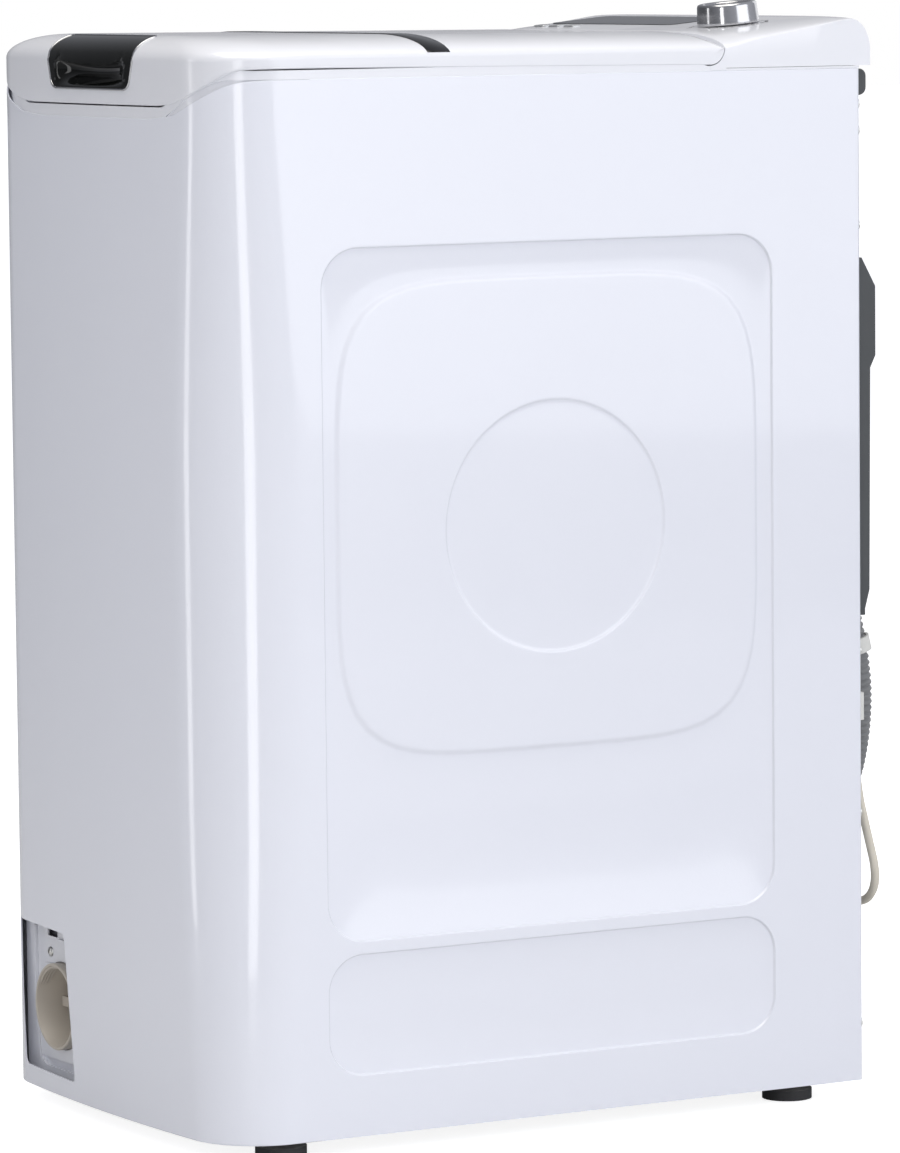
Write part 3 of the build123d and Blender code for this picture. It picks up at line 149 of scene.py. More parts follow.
def close_ends(piece):
    """Fill the open edge loops of a piece and turn all faces outwards."""
    def fill():
        bpy.ops.mesh.select_all(action="DESELECT")
        bpy.ops.mesh.select_non_manifold(extend=False)
        bpy.ops.mesh.edge_face_add()
        bpy.ops.mesh.select_all(action="SELECT")
        bpy.ops.mesh.normals_make_consistent(inside=False)
    return edit(piece, fill)


def cut(piece, *cutters):
    """Cut other solids out of a piece."""
    for cutter in cutters:
        modify(piece, "BOOLEAN", operation="DIFFERENCE", object=cutter, solver="EXACT")
        bpy.data.objects.remove(cutter)
    return piece


def block(name, low, high, bevel=0.0, segments=3):
    """A box from corner to corner with rounded edges."""
    low, high = Vector(low), Vector(high)
    bpy.ops.mesh.primitive_cube_add(size=1, location=(low + high) / 2, scale=high - low)
    piece = bpy.context.active_object
    piece.name = piece.data.name = name
    bpy.ops.object.transform_apply(location=True, rotation=True, scale=True)
    if bevel:
        modify(piece, "BEVEL", width=bevel, segments=segments, limit_method="NONE")
    return piece


def millimetres(profile):
    """A profile given in millimetres, in metres."""
    return [(radius * MM, height * MM) for radius, height in profile]


def lathe(name, profile, centre, axis, steps=64):
    """Turn a profile of (radius, height) points about an axis."""
    turn = Vector((0, 0, 1)).rotation_difference(Vector(axis).normalized())
    angles = [2 * math.pi * k / steps for k in range(steps)]
    rows = [loop([Vector(centre) + turn @ Vector((radius * math.cos(a), radius * math.sin(a), height))
                  for a in angles]) for radius, height in profile]
    return face_out(lattice(name, rows))


def along(points, place, reach=0.005):
    """Height of a line through a few points, with its corners eased."""
    def straight(x):
        if x <= points[0][0]:
            return points[0][1]
        for (x0, y0), (x1, y1) in zip(points, points[1:]):
            if x <= x1:
                return y0 + (y1 - y0) * (x - x0) / (x1 - x0)
        return points[-1][1]
    spots = [place + reach * k / 3 for k in range(-3, 4)]
    return sum(straight(x) for x in spots) / len(spots)


def finish_piece(piece, body, slot, *nodes):
    """Ride, finish and stand-in of a piece in one place."""
    piece.data.materials.clear()
    piece.data.materials.append(finishes[slot])
    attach(piece, body)
    if nodes:
        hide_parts(*nodes)
    return piece


# ---------------------------------------------------------------- shader groups and finishes
def new_group(name, inputs, outputs):
    """An empty shader group with named sockets and its two end nodes."""
    group = bpy.data.node_groups.new(name, "ShaderNodeTree")
    for label, kind, value in inputs:
        socket = group.interface.new_socket(name=label, in_out="INPUT", socket_type=kind)
        if value is not None:
            socket.default_value = value
    for label, kind in outputs:
        group.interface.new_socket(name=label, in_out="OUTPUT", socket_type=kind)
    return group, group.nodes.new("NodeGroupInput"), group.nodes.new("NodeGroupOutput")


def node(tree, kind, sockets=None, **settings):
    """A node with its settings and the values of its unlinked sockets."""
    made = tree.nodes.new(kind)
    for key, value in settings.items():
        setattr(made, key, value)
    for key, value in (sockets or {}).items():
        made.inputs[key].default_value = value
    return made


def wire(tree, *links):
    """Link nodes; every link gives a node, its output, the next node and its input."""
    for start, output, end, socket in links:
        tree.links.new(start.outputs[output], end.inputs[socket])


FLOAT, COLOUR, VECTOR = "NodeSocketFloat", "NodeSocketColor", "NodeSocketVector"


def build_grain():
    """Fine moulded or painted texture: height for a bump."""
    group, start, end = new_group("fine_grain", [("Place", VECTOR, None), ("Scale", FLOAT, 900.0),
                                                 ("Roughness", FLOAT, 0.5)], [("Height", FLOAT)])
    noise = node(group, "ShaderNodeTexNoise", {"Detail": 3.0})
    wire(group, (start, "Place", noise, "Vector"), (start, "Scale", noise, "Scale"),
         (start, "Roughness", noise, "Roughness"), (noise, "Fac", end, "Height"))
    return group


def build_drift():
    """Slow drift of a colour between itself and a darker or yellower tone."""
    group, start, end = new_group("tone_drift", [("Place", VECTOR, None), ("Colour", COLOUR, None),
                                                 ("Other", COLOUR, None), ("Scale", FLOAT, 6.0),
                                                 ("Amount", FLOAT, 0.3)], [("Colour", COLOUR)])
    noise = node(group, "ShaderNodeTexNoise", {"Detail": 4.0})
    scaled = node(group, "ShaderNodeMath", operation="MULTIPLY")
    mix = node(group, "ShaderNodeMix", data_type="RGBA")
    wire(group, (start, "Place", noise, "Vector"), (start, "Scale", noise, "Scale"),
         (noise, "Fac", scaled, 0), (start, "Amount", scaled, 1), (scaled, 0, mix, "Factor"),
         (start, "Colour", mix, "A"), (start, "Other", mix, "B"), (mix, "Result", end, "Colour"))
    return group


def build_dust():
    """Dust that settles on faces that look up."""
    group, start, end = new_group("settled_dust", [("Place", VECTOR, None), ("Amount", FLOAT, 0.2)],
                                  [("Mask", FLOAT)])
    geometry = node(group, "ShaderNodeNewGeometry")
    split = node(group, "ShaderNodeSeparateXYZ")
    facing = node(group, "ShaderNodeMapRange", {"From Min": 0.3})
    noise = node(group, "ShaderNodeTexNoise", {"Scale": 60.0})
    product = node(group, "ShaderNodeMath", operation="MULTIPLY")
    amount = node(group, "ShaderNodeMath", operation="MULTIPLY")
    wire(group, (geometry, "Normal", split, "Vector"), (split, "Z", facing, "Value"),
         (start, "Place", noise, "Vector"), (facing, "Result", product, 0), (noise, "Fac", product, 1),
         (product, 0, amount, 0), (start, "Amount", amount, 1), (amount, 0, end, "Mask"))
    return group


def build_gloss():
    """Roughness that varies with handling and wiping."""
    group, start, end = new_group("wiped_gloss", [("Place", VECTOR, None), ("Low", FLOAT, 0.2),
                                                  ("High", FLOAT, 0.3), ("Scale", FLOAT, 14.0)],
                                  [("Roughness", FLOAT)])
    noise = node(group, "ShaderNodeTexNoise", {"Detail": 5.0})
    spread = node(group, "ShaderNodeMapRange", {"From Min": 0.3, "From Max": 0.7})
    wire(group, (start, "Place", noise, "Vector"), (start, "Scale", noise, "Scale"),
         (noise, "Fac", spread, "Value"), (start, "Low", spread, "To Min"), (start, "High", spread, "To Max"),
         (spread, "Result", end, "Roughness"))
    return group


grain_group, drift_group, dust_group, gloss_group = build_grain(), build_drift(), build_dust(), build_gloss()


def place_group(tree, group, place, **values):
    """Put a shader group into a material with its own values."""
    made = tree.nodes.new("ShaderNodeGroup")
    made.node_tree = group
    tree.links.new(place, made.inputs["Place"])
    for key, value in values.items():
        made.inputs[key].default_value = value
    return made


finishes = {}


def finish(name, colour, other, gloss, grain=900.0, depth=0.02, metal=0.0, coat=0.0, drift=0.3,
           drift_scale=6.0, dust=0.0, stretch=(1, 1, 1), specular=0.5):
    """A material: drifting colour, varied gloss, fine grain as bump, and dust where asked."""
    material = bpy.data.materials.new(name)
    material.use_nodes = True
    tree = material.node_tree
    shader = tree.nodes["Principled BSDF"]
    place = node(tree, "ShaderNodeTexCoord").outputs["Object"]
    if stretch != (1, 1, 1):
        mapping = node(tree, "ShaderNodeMapping", {"Scale": stretch})
        tree.links.new(place, mapping.inputs["Vector"])
        place = mapping.outputs["Vector"]
    tone = place_group(tree, drift_group, place, Colour=(*colour, 1), Other=(*other, 1), Scale=drift_scale,
                       Amount=drift)
    colour_out = tone.outputs["Colour"]
    if dust:
        layer = place_group(tree, dust_group, place, Amount=dust)
        mix = node(tree, "ShaderNodeMix", {"B": (0.62, 0.6, 0.56, 1)}, data_type="RGBA", label="dusted")
        wire(tree, (layer, "Mask", mix, "Factor"))
        tree.links.new(colour_out, mix.inputs["A"])
        colour_out = mix.outputs["Result"]
    tree.links.new(colour_out, shader.inputs["Base Color"])
    sheen = place_group(tree, gloss_group, place, Low=gloss[0], High=gloss[1])
    wire(tree, (sheen, "Roughness", shader, "Roughness"))
    texture = place_group(tree, grain_group, place, Scale=grain)
    bump = node(tree, "ShaderNodeBump", {"Distance": MM, "Strength": depth})
    wire(tree, (texture, "Height", bump, "Height"), (bump, "Normal", shader, "Normal"))
    for label, value in (("Metallic", metal), ("Coat Weight", coat), ("Coat Roughness", 0.04),
                         ("Specular IOR Level", specular)):
        shader.inputs[label].default_value = value
    finishes[name] = material


def rework(material, build):
    """Let a function change the colour of a finished material."""
    tree = material.node_tree
    build(tree, tree.nodes["Principled BSDF"], tree.nodes["Texture Coordinate"].outputs["Object"])


finish("white_enamel", (0.775, 0.79, 0.86), (0.74, 0.76, 0.84), (0.13, 0.19), 420, 0.035, coat=0.6,
       drift=0.35, drift_scale=3.0)
finish("white_plastic", (0.77, 0.78, 0.83), (0.73, 0.74, 0.785), (0.16, 0.24), 700, 0.02, coat=0.35,
       dust=0.05)
finish("grey_plastic", (0.42, 0.43, 0.44), (0.34, 0.35, 0.36), (0.4, 0.55), 1400, 0.12, dust=0.2)
finish("black_rubber", (0.025, 0.025, 0.027), (0.05, 0.048, 0.045), (0.6, 0.8), 1500, 0.15, dust=0.35)
finish("galvanised", (0.56, 0.57, 0.58), (0.46, 0.47, 0.49), (0.32, 0.5), 300, 0.03, metal=1.0)
finish("dark_plastic", (0.055, 0.06, 0.065), (0.08, 0.083, 0.086), (0.45, 0.6), 1300, 0.16, dust=0.3)
finish("zinc", (0.62, 0.62, 0.6), (0.5, 0.5, 0.47), (0.25, 0.42), 900, 0.05, metal=1.0)
finish("dark_gloss", (0.008, 0.008, 0.01), (0.015, 0.015, 0.018), (0.05, 0.09), 500, 0.006, specular=0.3)
finish("circuit_board", (0.02, 0.13, 0.05), (0.03, 0.18, 0.07), (0.3, 0.4), 900, 0.05)
finish("beige_plastic", (0.5, 0.455, 0.395), (0.42, 0.375, 0.32), (0.35, 0.5), 1200, 0.06, dust=0.15)
finish("spring_steel", (0.2, 0.2, 0.21), (0.13, 0.13, 0.135), (0.3, 0.45), 800, 0.06, metal=1.0)
finish("grey_rubber", (0.14, 0.145, 0.15), (0.2, 0.2, 0.2), (0.55, 0.7), 1500, 0.1, dust=0.2)
finish("pale_plastic", (0.72, 0.72, 0.69), (0.64, 0.63, 0.59), (0.3, 0.42), 1000, 0.06)
finish("hose_grey", (0.2, 0.205, 0.21), (0.15, 0.153, 0.157), (0.42, 0.55), 1300, 0.08, dust=0.25)
finish("cord_sheath", (0.68, 0.64, 0.55), (0.58, 0.53, 0.44), (0.4, 0.5), 1600, 0.06, dust=0.1)
finish("black_gloss", (0.004, 0.0045, 0.004), (0.006, 0.0065, 0.006), (0.03, 0.06), 400, 0.004, specular=0.35)
finish("heater_steel", (0.4, 0.37, 0.32), (0.25, 0.22, 0.19), (0.3, 0.5), 700, 0.08, metal=1.0, drift=0.7,
       drift_scale=25)
finish("concrete", (0.32, 0.315, 0.3), (0.2, 0.2, 0.19), (0.8, 0.95), 500, 0.8, drift=0.9, drift_scale=60,
       dust=0.3)
finish("motor_iron", (0.09, 0.09, 0.095), (0.05, 0.05, 0.05), (0.45, 0.6), 900, 0.25, metal=0.6)
finish("stainless", (0.6, 0.6, 0.6), (0.5, 0.5, 0.51), (0.2, 0.34), 700, 0.06, metal=1.0,
       stretch=(0.03, 1, 1))
finish("cast_aluminium", (0.6, 0.61, 0.62), (0.48, 0.49, 0.5), (0.35, 0.5), 650, 0.3, metal=1.0)
finish("chrome", (0.52, 0.52, 0.53), (0.42, 0.42, 0.43), (0.12, 0.2), 500, 0.004, metal=1.0)
finish("satin_silver", (0.55, 0.56, 0.57), (0.47, 0.48, 0.49), (0.25, 0.35), 1100, 0.03, metal=0.7)



def spangle(tree, shader, place):
    """Zinc crystals on galvanised sheet."""
    crystals = node(tree, "ShaderNodeTexVoronoi", {"Scale": 110.0})
    split = node(tree, "ShaderNodeSeparateColor")
    tone = node(tree, "ShaderNodeMapRange", {"To Min": 0.5, "To Max": 0.6})
    tree.links.new(place, crystals.inputs["Vector"])
    wire(tree, (crystals, "Color", split, "Color"), (split, "Red", tone, "Value"),
         (tone, "Result", shader, "Base Color"))


def perforate(tree, shader, place):
    """Rows of small holes round the drum's shell, laid out by angle and by length; each hole is painted
    near-black, a painted shade for the dark seen through it.
    """
    holes_round, hole_pitch, hole_share, shell_reach = 100, 0.0145, 0.125, 0.003
    split = node(tree, "ShaderNodeSeparateXYZ")
    tree.links.new(place, split.inputs["Vector"])
    drum_low, drum_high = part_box("drum_ends")
    height = node(tree, "ShaderNodeMath", {1: (drum_low.z + drum_high.z) / 2}, operation="SUBTRACT")
    wire(tree, (split, "Z", height, 0))
    angle = node(tree, "ShaderNodeMath", operation="ARCTAN2")
    wire(tree, (split, "Y", angle, 0), (height, 0, angle, 1))
    reach = node(tree, "ShaderNodeVectorMath", operation="LENGTH")
    flat = node(tree, "ShaderNodeCombineXYZ")
    wire(tree, (split, "Y", flat, "Y"), (height, 0, flat, "Z"), (flat, "Vector", reach, 0))
    grid = node(tree, "ShaderNodeCombineXYZ")
    turned = node(tree, "ShaderNodeMath", {1: holes_round / (2 * math.pi)}, operation="MULTIPLY")
    run = node(tree, "ShaderNodeMath", {1: 1 / hole_pitch}, operation="MULTIPLY")
    wire(tree, (angle, 0, turned, 0), (split, "X", run, 0), (turned, 0, grid, "Y"), (run, 0, grid, "X"))
    dots = node(tree, "ShaderNodeTexVoronoi", {"Randomness": 0.0, "Scale": 1.0}, voronoi_dimensions="2D")
    wire(tree, (grid, "Vector", dots, "Vector"))
    hole = node(tree, "ShaderNodeMath", {1: hole_share}, operation="LESS_THAN")
    wire(tree, (dots, "Distance", hole, 0))
    shell = node(tree, "ShaderNodeMath", {1: (drum_high.z - drum_low.z) / 2 - shell_reach},
                 operation="GREATER_THAN")
    wire(tree, (reach, "Value", shell, 0))
    hole_shade_mask = node(tree, "ShaderNodeMath", operation="MULTIPLY")
    wire(tree, (hole, 0, hole_shade_mask, 0), (shell, 0, hole_shade_mask, 1))
    old = shader.inputs["Base Color"].links[0].from_socket
    # the holes' near-black is painted shade, standing in for the dark behind the shell; it is not a colour of
    # the steel
    mix = node(tree, "ShaderNodeMix", {"B": (0.01, 0.01, 0.01, 1)}, data_type="RGBA", label="holes")
    wire(tree, (hole_shade_mask, 0, mix, "Factor"))
    tree.links.new(old, mix.inputs["A"])
    wire(tree, (mix, "Result", shader, "Base Color"))


rework(finishes["galvanised"], spangle)
rework(finishes["stainless"], perforate)

for part in frame["record"]["subparts"]:
    shown = frame["nodes"][part["node"]]
    shown.data.materials.clear()
    shown.data.materials.append(finishes[part["material_slot"]])


# ---------------------------------------------------------------- cords, laid first
hose_route = [(0.158, 0.2925, 0.386), (0.158, 0.303, 0.345), (0.150, 0.308, 0.292), (0.128, 0.311, 0.243),
              (0.092, 0.312, 0.205), (0.045, 0.311, 0.183), (-0.008, 0.310, 0.176), (-0.060, 0.311, 0.186),
              (-0.104, 0.311, 0.211), (-0.138, 0.309, 0.250), (-0.154, 0.305, 0.299), (-0.157, 0.300, 0.345)]
lead_route = [(0.178, 0.2865, 0.295), (0.179, 0.2875, 0.253), (0.184, 0.295, 0.212), (0.186, 0.304, 0.1735),
              (0.1625, 0.309, 0.1503), (0.1295, 0.308, 0.1503), (0.1065, 0.301, 0.1735), (0.108, 0.2915, 0.215),
              (0.113, 0.288, 0.262), (0.1147, 0.288, 0.3165), (0.0915, 0.288, 0.3397), (0.0585, 0.288, 0.3397),
              (0.0353, 0.288, 0.3165), (0.038, 0.2885, 0.268), (0.041, 0.2895, 0.213), (0.040, 0.292, 0.158),
              (0.037, 0.296, 0.112), (0.027, 0.300, 0.074), (0.007, 0.304, 0.041), (-0.020, 0.307, 0.016),
              (-0.050, 0.306, 0.0038)]
tail_route = [(-0.098, 0.311, 0.0125), (-0.112, 0.3108, 0.0155), (-0.128, 0.312, 0.018)]
coil_centre = (-0.070, 0.352)
coil_points_per_turn = 16


def coil_route():
    """Three turns: two side by side on the floor, wound inwards, and one back out on top of them."""
    points = []
    for step in range(1, 3 * coil_points_per_turn + 1):
        turn = step / coil_points_per_turn
        angle = math.radians(-90) - 2 * math.pi * turn
        radius = 0.0467 - 0.0072 * turn if turn < 2 else 0.0323 + 0.0090 * (turn - 2)
        height = 0.0038 + 0.0074 * min(1.0, max(0.0, (turn - 1.95) / 0.3))
        points.append((coil_centre[0] + radius * math.cos(angle), coil_centre[1] + radius * math.sin(angle),
                       height))
    return points


def spline_curve(name, route, bevel=0.0):
    """An open smooth spline through its control points' hull."""
    data = bpy.data.curves.new(name, "CURVE")
    data.dimensions = "3D"
    data.resolution_u = 8
    spline = data.splines.new("NURBS")
    spline.points.add(len(route) - 1)
    for point, place in zip(spline.points, route):
        point.co = (*place, 1.0)
    spline.order_u = 3
    spline.use_endpoint_u = True
    data.bevel_depth = bevel
    data.bevel_resolution = 4
    data.use_fill_caps = True
    piece = bpy.data.objects.new(name, data)
    bpy.context.scene.collection.objects.link(piece)
    return piece


def line_of(route):
    """The points along the smooth line that a route gives."""
    guide = spline_curve("guide", route)
    mesh = bpy.data.meshes.new_from_object(guide)
    places = [v.co.copy() for v in mesh.vertices]
    bpy.data.objects.remove(guide)
    bpy.data.meshes.remove(mesh)
    return places


def even_steps(places, step):
    """The same line, cut into equal short steps."""
    found, carried = [places[0]], 0.0
    for a, b in zip(places, places[1:]):
        length = (b - a).length
        while carried + length >= step:
            share = (step - carried) / length
            a = a.lerp(b, share)
            found.append(a.copy())
            length = (b - a).length
            carried = 0.0
        carried += length
    return found


def ribbed_tube(name, path, radius_at, sides=20):
    """A tube along a path whose radius changes from step to step."""
    rows = []
    across = (path[1] - path[0]).cross(Vector((1, 0, 0))).normalized()
    for index, place in enumerate(path):
        ahead, behind = path[min(index + 1, len(path) - 1)], path[max(index - 1, 0)]
        aim = (ahead - behind).normalized()
        across = (across - aim * across.dot(aim)).normalized()
        other = aim.cross(across)
        radius = radius_at(index)
        rows.append(loop([place + radius * (across * math.cos(2 * math.pi * k / sides) +
                                            other * math.sin(2 * math.pi * k / sides)) for k in range(sides)]))
    return close_ends(lattice(name, rows))


rib_step = 0.0013
hose_path = even_steps(line_of(hose_route), rib_step)
ribs = [0.0120, 0.0120, 0.0108, 0.0108]
drain_hose = ribbed_tube("corrugated_drain_hose", hose_path, lambda index: ribs[index % len(ribs)], 20)
smooth(drain_hose, 40)
finish_piece(drain_hose, "cabinet", "hose_grey", "drain_hose")

mains_lead = spline_curve("mains_lead", lead_route + coil_route() + tail_route, bevel=0.0035)
finish_piece(mains_lead, "cabinet", "cord_sheath", "mains_cord", "mains_coil")
lead_path = line_of(lead_route + coil_route() + tail_route)


# ---------------------------------------------------------------- case: wrap-round painted sheet
case_low, case_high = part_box("cabinet_wrap")
half = case_high.x
back = case_high.y
apex = case_low.y
bow_radius = 1.907
left_radius = 0.053
flat_start = -0.2135
foot = 0.014
turned_edge = [(0.0005, -0.0004), (0.0012, -0.0002), (0.0014, 0.004)]
lap = 0.1605
sheet = 0.0012
seam_line = [(0.097, 0.794), (0.133, 0.797), (0.152, 0.804), (0.172, 0.813), (0.185, 0.821), (0.196, 0.824)]
corner_line = [(0.014, 0.058), (0.10, 0.066), (0.25, 0.079), (0.55, 0.080), (0.68, 0.069), (0.78, 0.058),
               (0.83, 0.057)]


def bow(x, inset=0.0):
    """Depth of the bowed front at a distance from the middle."""
    return apex + bow_radius - math.sqrt((bow_radius - inset) ** 2 - x ** 2)


def corner_outline(radius, inset, start, arc_steps=20):
    """One side and its corner, ending where the bowed front starts."""
    centre_x = half - radius
    centre_y = apex + bow_radius - math.sqrt((bow_radius - radius) ** 2 - centre_x ** 2)
    lean = math.asin(centre_x / (bow_radius - radius))
    angles = [-(math.pi / 2 - lean) * step / arc_steps for step in range(arc_steps + 1)]
    return [(half - inset, start)] + [(centre_x + (radius - inset) * math.cos(a),
                                       centre_y + (radius - inset) * math.sin(a)) for a in angles]


def front_outline(radius, inset=0.0, steps=24):
    """Right side and corner, bowed front, left corner and side."""
    first, last = corner_outline(radius, inset, flat_start), corner_outline(left_radius, inset, flat_start)
    between = [first[-1][0] - (first[-1][0] + last[-1][0]) * step / steps for step in range(1, steps)]
    return first + [(x, bow(x, inset)) for x in between] + [(-x, y) for x, y in reversed(last)]


def seam_height(x):
    return along(seam_line, abs(x), 0.008)


levels = [0.0145, 0.016] + [0.02 + 0.78 * k / 40 for k in range(1, 34)]
fixed_top = levels[-1]
rise_shares = [0.12, 0.25, 0.4, 0.55, 0.7, 0.82, 0.92, 0.98, 1.0]


def case_rows():
    """Rows of the front sheet from its turned-in foot to its turned-in top edge."""
    rows = [[(x, y, foot) for x, y in front_outline(along(corner_line, foot), inset)]
            for inset in (0.012, 0.0006)]
    for z in levels:
        rows.append([(x, y, z) for x, y in front_outline(along(corner_line, z, 0.03))])
    for share in rise_shares:
        z_mean = fixed_top + (0.80 - fixed_top) * share
        outline = front_outline(along(corner_line, z_mean, 0.03))
        rows.append([(x, y, fixed_top + (seam_height(x) - fixed_top) * share) for x, y in outline])
    for inset, drop in turned_edge:
        outline = front_outline(along(corner_line, 0.80), inset)
        rows.append([(x, y, seam_height(x) - drop) for x, y in outline])
    return rows


front_sheet = lattice("case_front", case_rows(), inside_out=True)
thicken(front_sheet, sheet)


def rounded_rectangle(centre, size, radius, count=96):
    """Points round a rounded rectangle, (y, z), evenly spread over its straights and arcs."""
    half_y, half_z = size
    points = []
    corners = ((1, 1), (-1, 1), (-1, -1), (1, -1))
    per = count // 4
    arc = per // 2
    for index, (sy, sz) in enumerate(corners):
        cy, cz = centre[0] + sy * (half_y - radius), centre[1] + sz * (half_z - radius)
        start = math.pi / 2 * index
        for step in range(arc + 1):
            angle = start + math.pi / 2 * step / arc
            points.append((cy + radius * math.cos(angle), cz + radius * math.sin(angle)))
        ny, nz = corners[(index + 1) % 4]
        next_start = (centre[0] + ny * (half_y - radius) + radius * math.cos(start + math.pi / 2),
                      centre[1] + nz * (half_z - radius) + radius * math.sin(start + math.pi / 2))
        last = points[-1]
        for step in range(1, per - arc):
            share = step / (per - arc)
            points.append((last[0] + (next_start[0] - last[0]) * share,
                           last[1] + (next_start[1] - last[1]) * share))
    return points


def swollen_square(centre, size, power=5.0, count=96):
    """Points round a superellipse, (y, z)."""
    points = []
    for step in range(count):
        angle = 2 * math.pi * step / count + math.pi / 8
        c, s = math.cos(angle), math.sin(angle)
        reach = (abs(c) ** power + abs(s) ** power) ** (-1 / power)
        points.append((centre[0] + size[0] * reach * c, centre[1] + size[1] * reach * s))
    return points


def rectangle(low, high, count=96):
    """Points round a plain rectangle, with a point on every corner."""
    return rounded_rectangle(((low[0] + high[0]) / 2, (low[1] + high[1]) / 2),
                             ((high[0] - low[0]) / 2, (high[1] - low[1]) / 2), 0.0002, count)


step_profile = [(0.0, 0.0), (0.0003, 0.00006), (0.0007, 0.0005), (0.0011, 0.0013), (0.0015, 0.0017),
                (0.0019, 0.0018)]
swell_profile = [(0.0, 0.0), (0.0007, 0.0001), (0.0016, 0.0005), (0.0027, 0.0012), (0.0037, 0.00165),
                 (0.0050, 0.0018)]
disc_profile = [(0.0, 0.0), (0.0005, 0.0001), (0.0011, 0.0005), (0.0017, 0.0010), (0.0024, 0.0012)]
floor_depth = step_profile[-1][1]
big_centre, big_size, big_corner = (-0.004, 0.43075), (0.202, 0.26625), 0.032
swell_centre, swell_size = (-0.0055, 0.487), (0.1845, 0.180)
disc_centre, disc_radius = (-0.001, 0.476), 0.099
low_centre, low_size, low_corner = (-0.004, 0.1085), (0.202, 0.0475), 0.030


def side_panel(name, side, low, high, centre, size, corner, with_swell):
    """Flat side wall with a sunk panel and, in the large one, a raised square round a sunk disc."""
    def row(points, depth):
        return loop([(side * (half - depth), y, z) for y, z in points])

    rows = [row(rectangle(low, high), 0.0)]
    rows.append(row(rounded_rectangle(centre, (size[0] + 0.0008, size[1] + 0.0008), corner + 0.0008), 0.0))
    for inward, depth in step_profile:
        rows.append(row(rounded_rectangle(centre, (size[0] - inward, size[1] - inward), corner - inward),
                        depth))
    if with_swell:
        outer = swell_profile[-1][0]
        rows.append(row(swollen_square(swell_centre, [s + outer + 0.001 for s in swell_size]), floor_depth))
        for inward, rise in swell_profile:
            rows.append(row(swollen_square(swell_centre, [s + outer - inward for s in swell_size]),
                            floor_depth - rise))
        rows.append(row(swollen_square(swell_centre, [s - 0.001 for s in swell_size]), 0.0))
        rows.append(row(swollen_square(disc_centre, [disc_radius + 0.001] * 2, 2.0), 0.0))
        for inward, depth in disc_profile:
            rows.append(row(swollen_square(disc_centre, [disc_radius - inward] * 2, 2.0), depth))
        rows.append(row(swollen_square(disc_centre, [disc_radius - 0.004] * 2, 2.0), disc_profile[-1][1]))
        rows.append(row(swollen_square(disc_centre, [disc_radius / 2] * 2, 2.0), disc_profile[-1][1]))
        rows.append(row([disc_centre] * 96, disc_profile[-1][1]))
    else:
        rows.append(row(rounded_rectangle(centre, (size[0] * 0.9, size[1] * 0.3), 0.008), floor_depth))
        rows.append(row([(centre[0] + size[0] * 0.5 * math.cos(2 * math.pi * k / 96 + math.pi / 8), centre[1])
                         for k in range(96)], floor_depth))
    return lattice(name, rows, inside_out=side < 0)


def case_edges(side):
    """Turned-in top and bottom edges of a side wall and its rounded back corner with the rear flange."""
    def mirrored(points):
        return [(side * x, y, z) for x, y, z in points]

    top = [mirrored([(half - inset, y, case_high.z - drop) for y in (flat_start, back - 0.002)])
           for inset, drop in [(0.0, 0.0)] + turned_edge]
    bottom = [mirrored([(half - inset, y, case_low.z) for y in (flat_start, back - 0.002)])
              for inset in (0.012, 0.0006)]
    bottom.append(mirrored([(half, y, case_low.z + 0.0005) for y in (flat_start, back - 0.002)]))
    turn = [(half, back - 0.002), (half - 0.0003, back - 0.001), (half - 0.001, back - 0.0003),
            (half - 0.002, back), (half - 0.015, back), (half - 0.015, back - 0.001)]
    corner = [mirrored([(x, y, z) for x, y in turn]) for z in (case_low.z, case_high.z)]
    return [lattice("edge", sheet_rows, inside_out=flipped != (side < 0))
            for sheet_rows, flipped in ((top, False), (bottom, False), (corner, True))]


opening_outline = [(-0.170, 0.147), (-0.071, 0.146), (-0.053, 0.029), (-0.154, 0.030)]
opening_corner = 0.006


def rounded_corners(points, radius, steps=6):
    """Points round a polygon with its corners eased by arcs."""
    found = []
    count = len(points)
    for index, corner in enumerate(points):
        here = Vector(corner)
        before = (Vector(points[index - 1]) - here).normalized()
        after = (Vector(points[(index + 1) % count]) - here).normalized()
        start, end = here + before * radius, here + after * radius
        for step in range(steps + 1):
            t = step / steps
            found.append(start * (1 - t) ** 2 + here * 2 * t * (1 - t) + end * t ** 2)
    return found


def prism(name, outline, place, depth, base):
    """A straight prism: place(point, level) puts an outline point at one of the two levels."""
    rows = [loop([place(point, level) for point in outline]) for level in (base, base + depth)]
    return close_ends(lattice(name, rows))


opening = prism("opening", rounded_corners(opening_outline, opening_corner),
                lambda p, level: (p.x, level, p.y), 0.08, -0.33)
cut(front_sheet, opening)
walls = []
for side in (-1, 1):
    walls.append(side_panel("wall", side, (flat_start, lap), (back - 0.002, case_high.z), big_centre, big_size,
                            big_corner, True))
    walls.append(side_panel("wall", side, (flat_start, case_low.z), (back - 0.002, lap), low_centre, low_size,
                            low_corner, False))
    walls += case_edges(side)
case_skin = smooth(join("case_skin", front_sheet, *walls), 40)
finish_piece(case_skin, "cabinet", "white_enamel", "cabinet_wrap")


# ---------------------------------------------------------------- lid: pillow form with a rolled back edge
hinge = Vector((0.0, 0.1415, 0.842))
roll_radius = 0.013
lid_seam = [(0.114, 0.8045), (0.138, 0.807), (0.160, 0.8145), (0.176, 0.8235), (0.187, 0.8315), (0.197, 0.8325)]
crown_front, crown_back = 0.8575, 0.8545
side_edge, front_edge = 0.8398, 0.838
plateau_half = 0.120
lid_radius = 0.058


def crown(y):
    return crown_front + (crown_back - crown_front) * (y - apex) / (hinge.y - apex)


# shares of the way from an edge to the plateau, close together where the surface rises steeply
rise_steps = [1 - math.cos(math.pi / 2 * step / 16) for step in range(17)]


def pillow(share):
    """How far the surface has risen from its edge (0) to its plateau (1)."""
    return math.sqrt(max(0.0, 1 - (1 - share) ** 2))


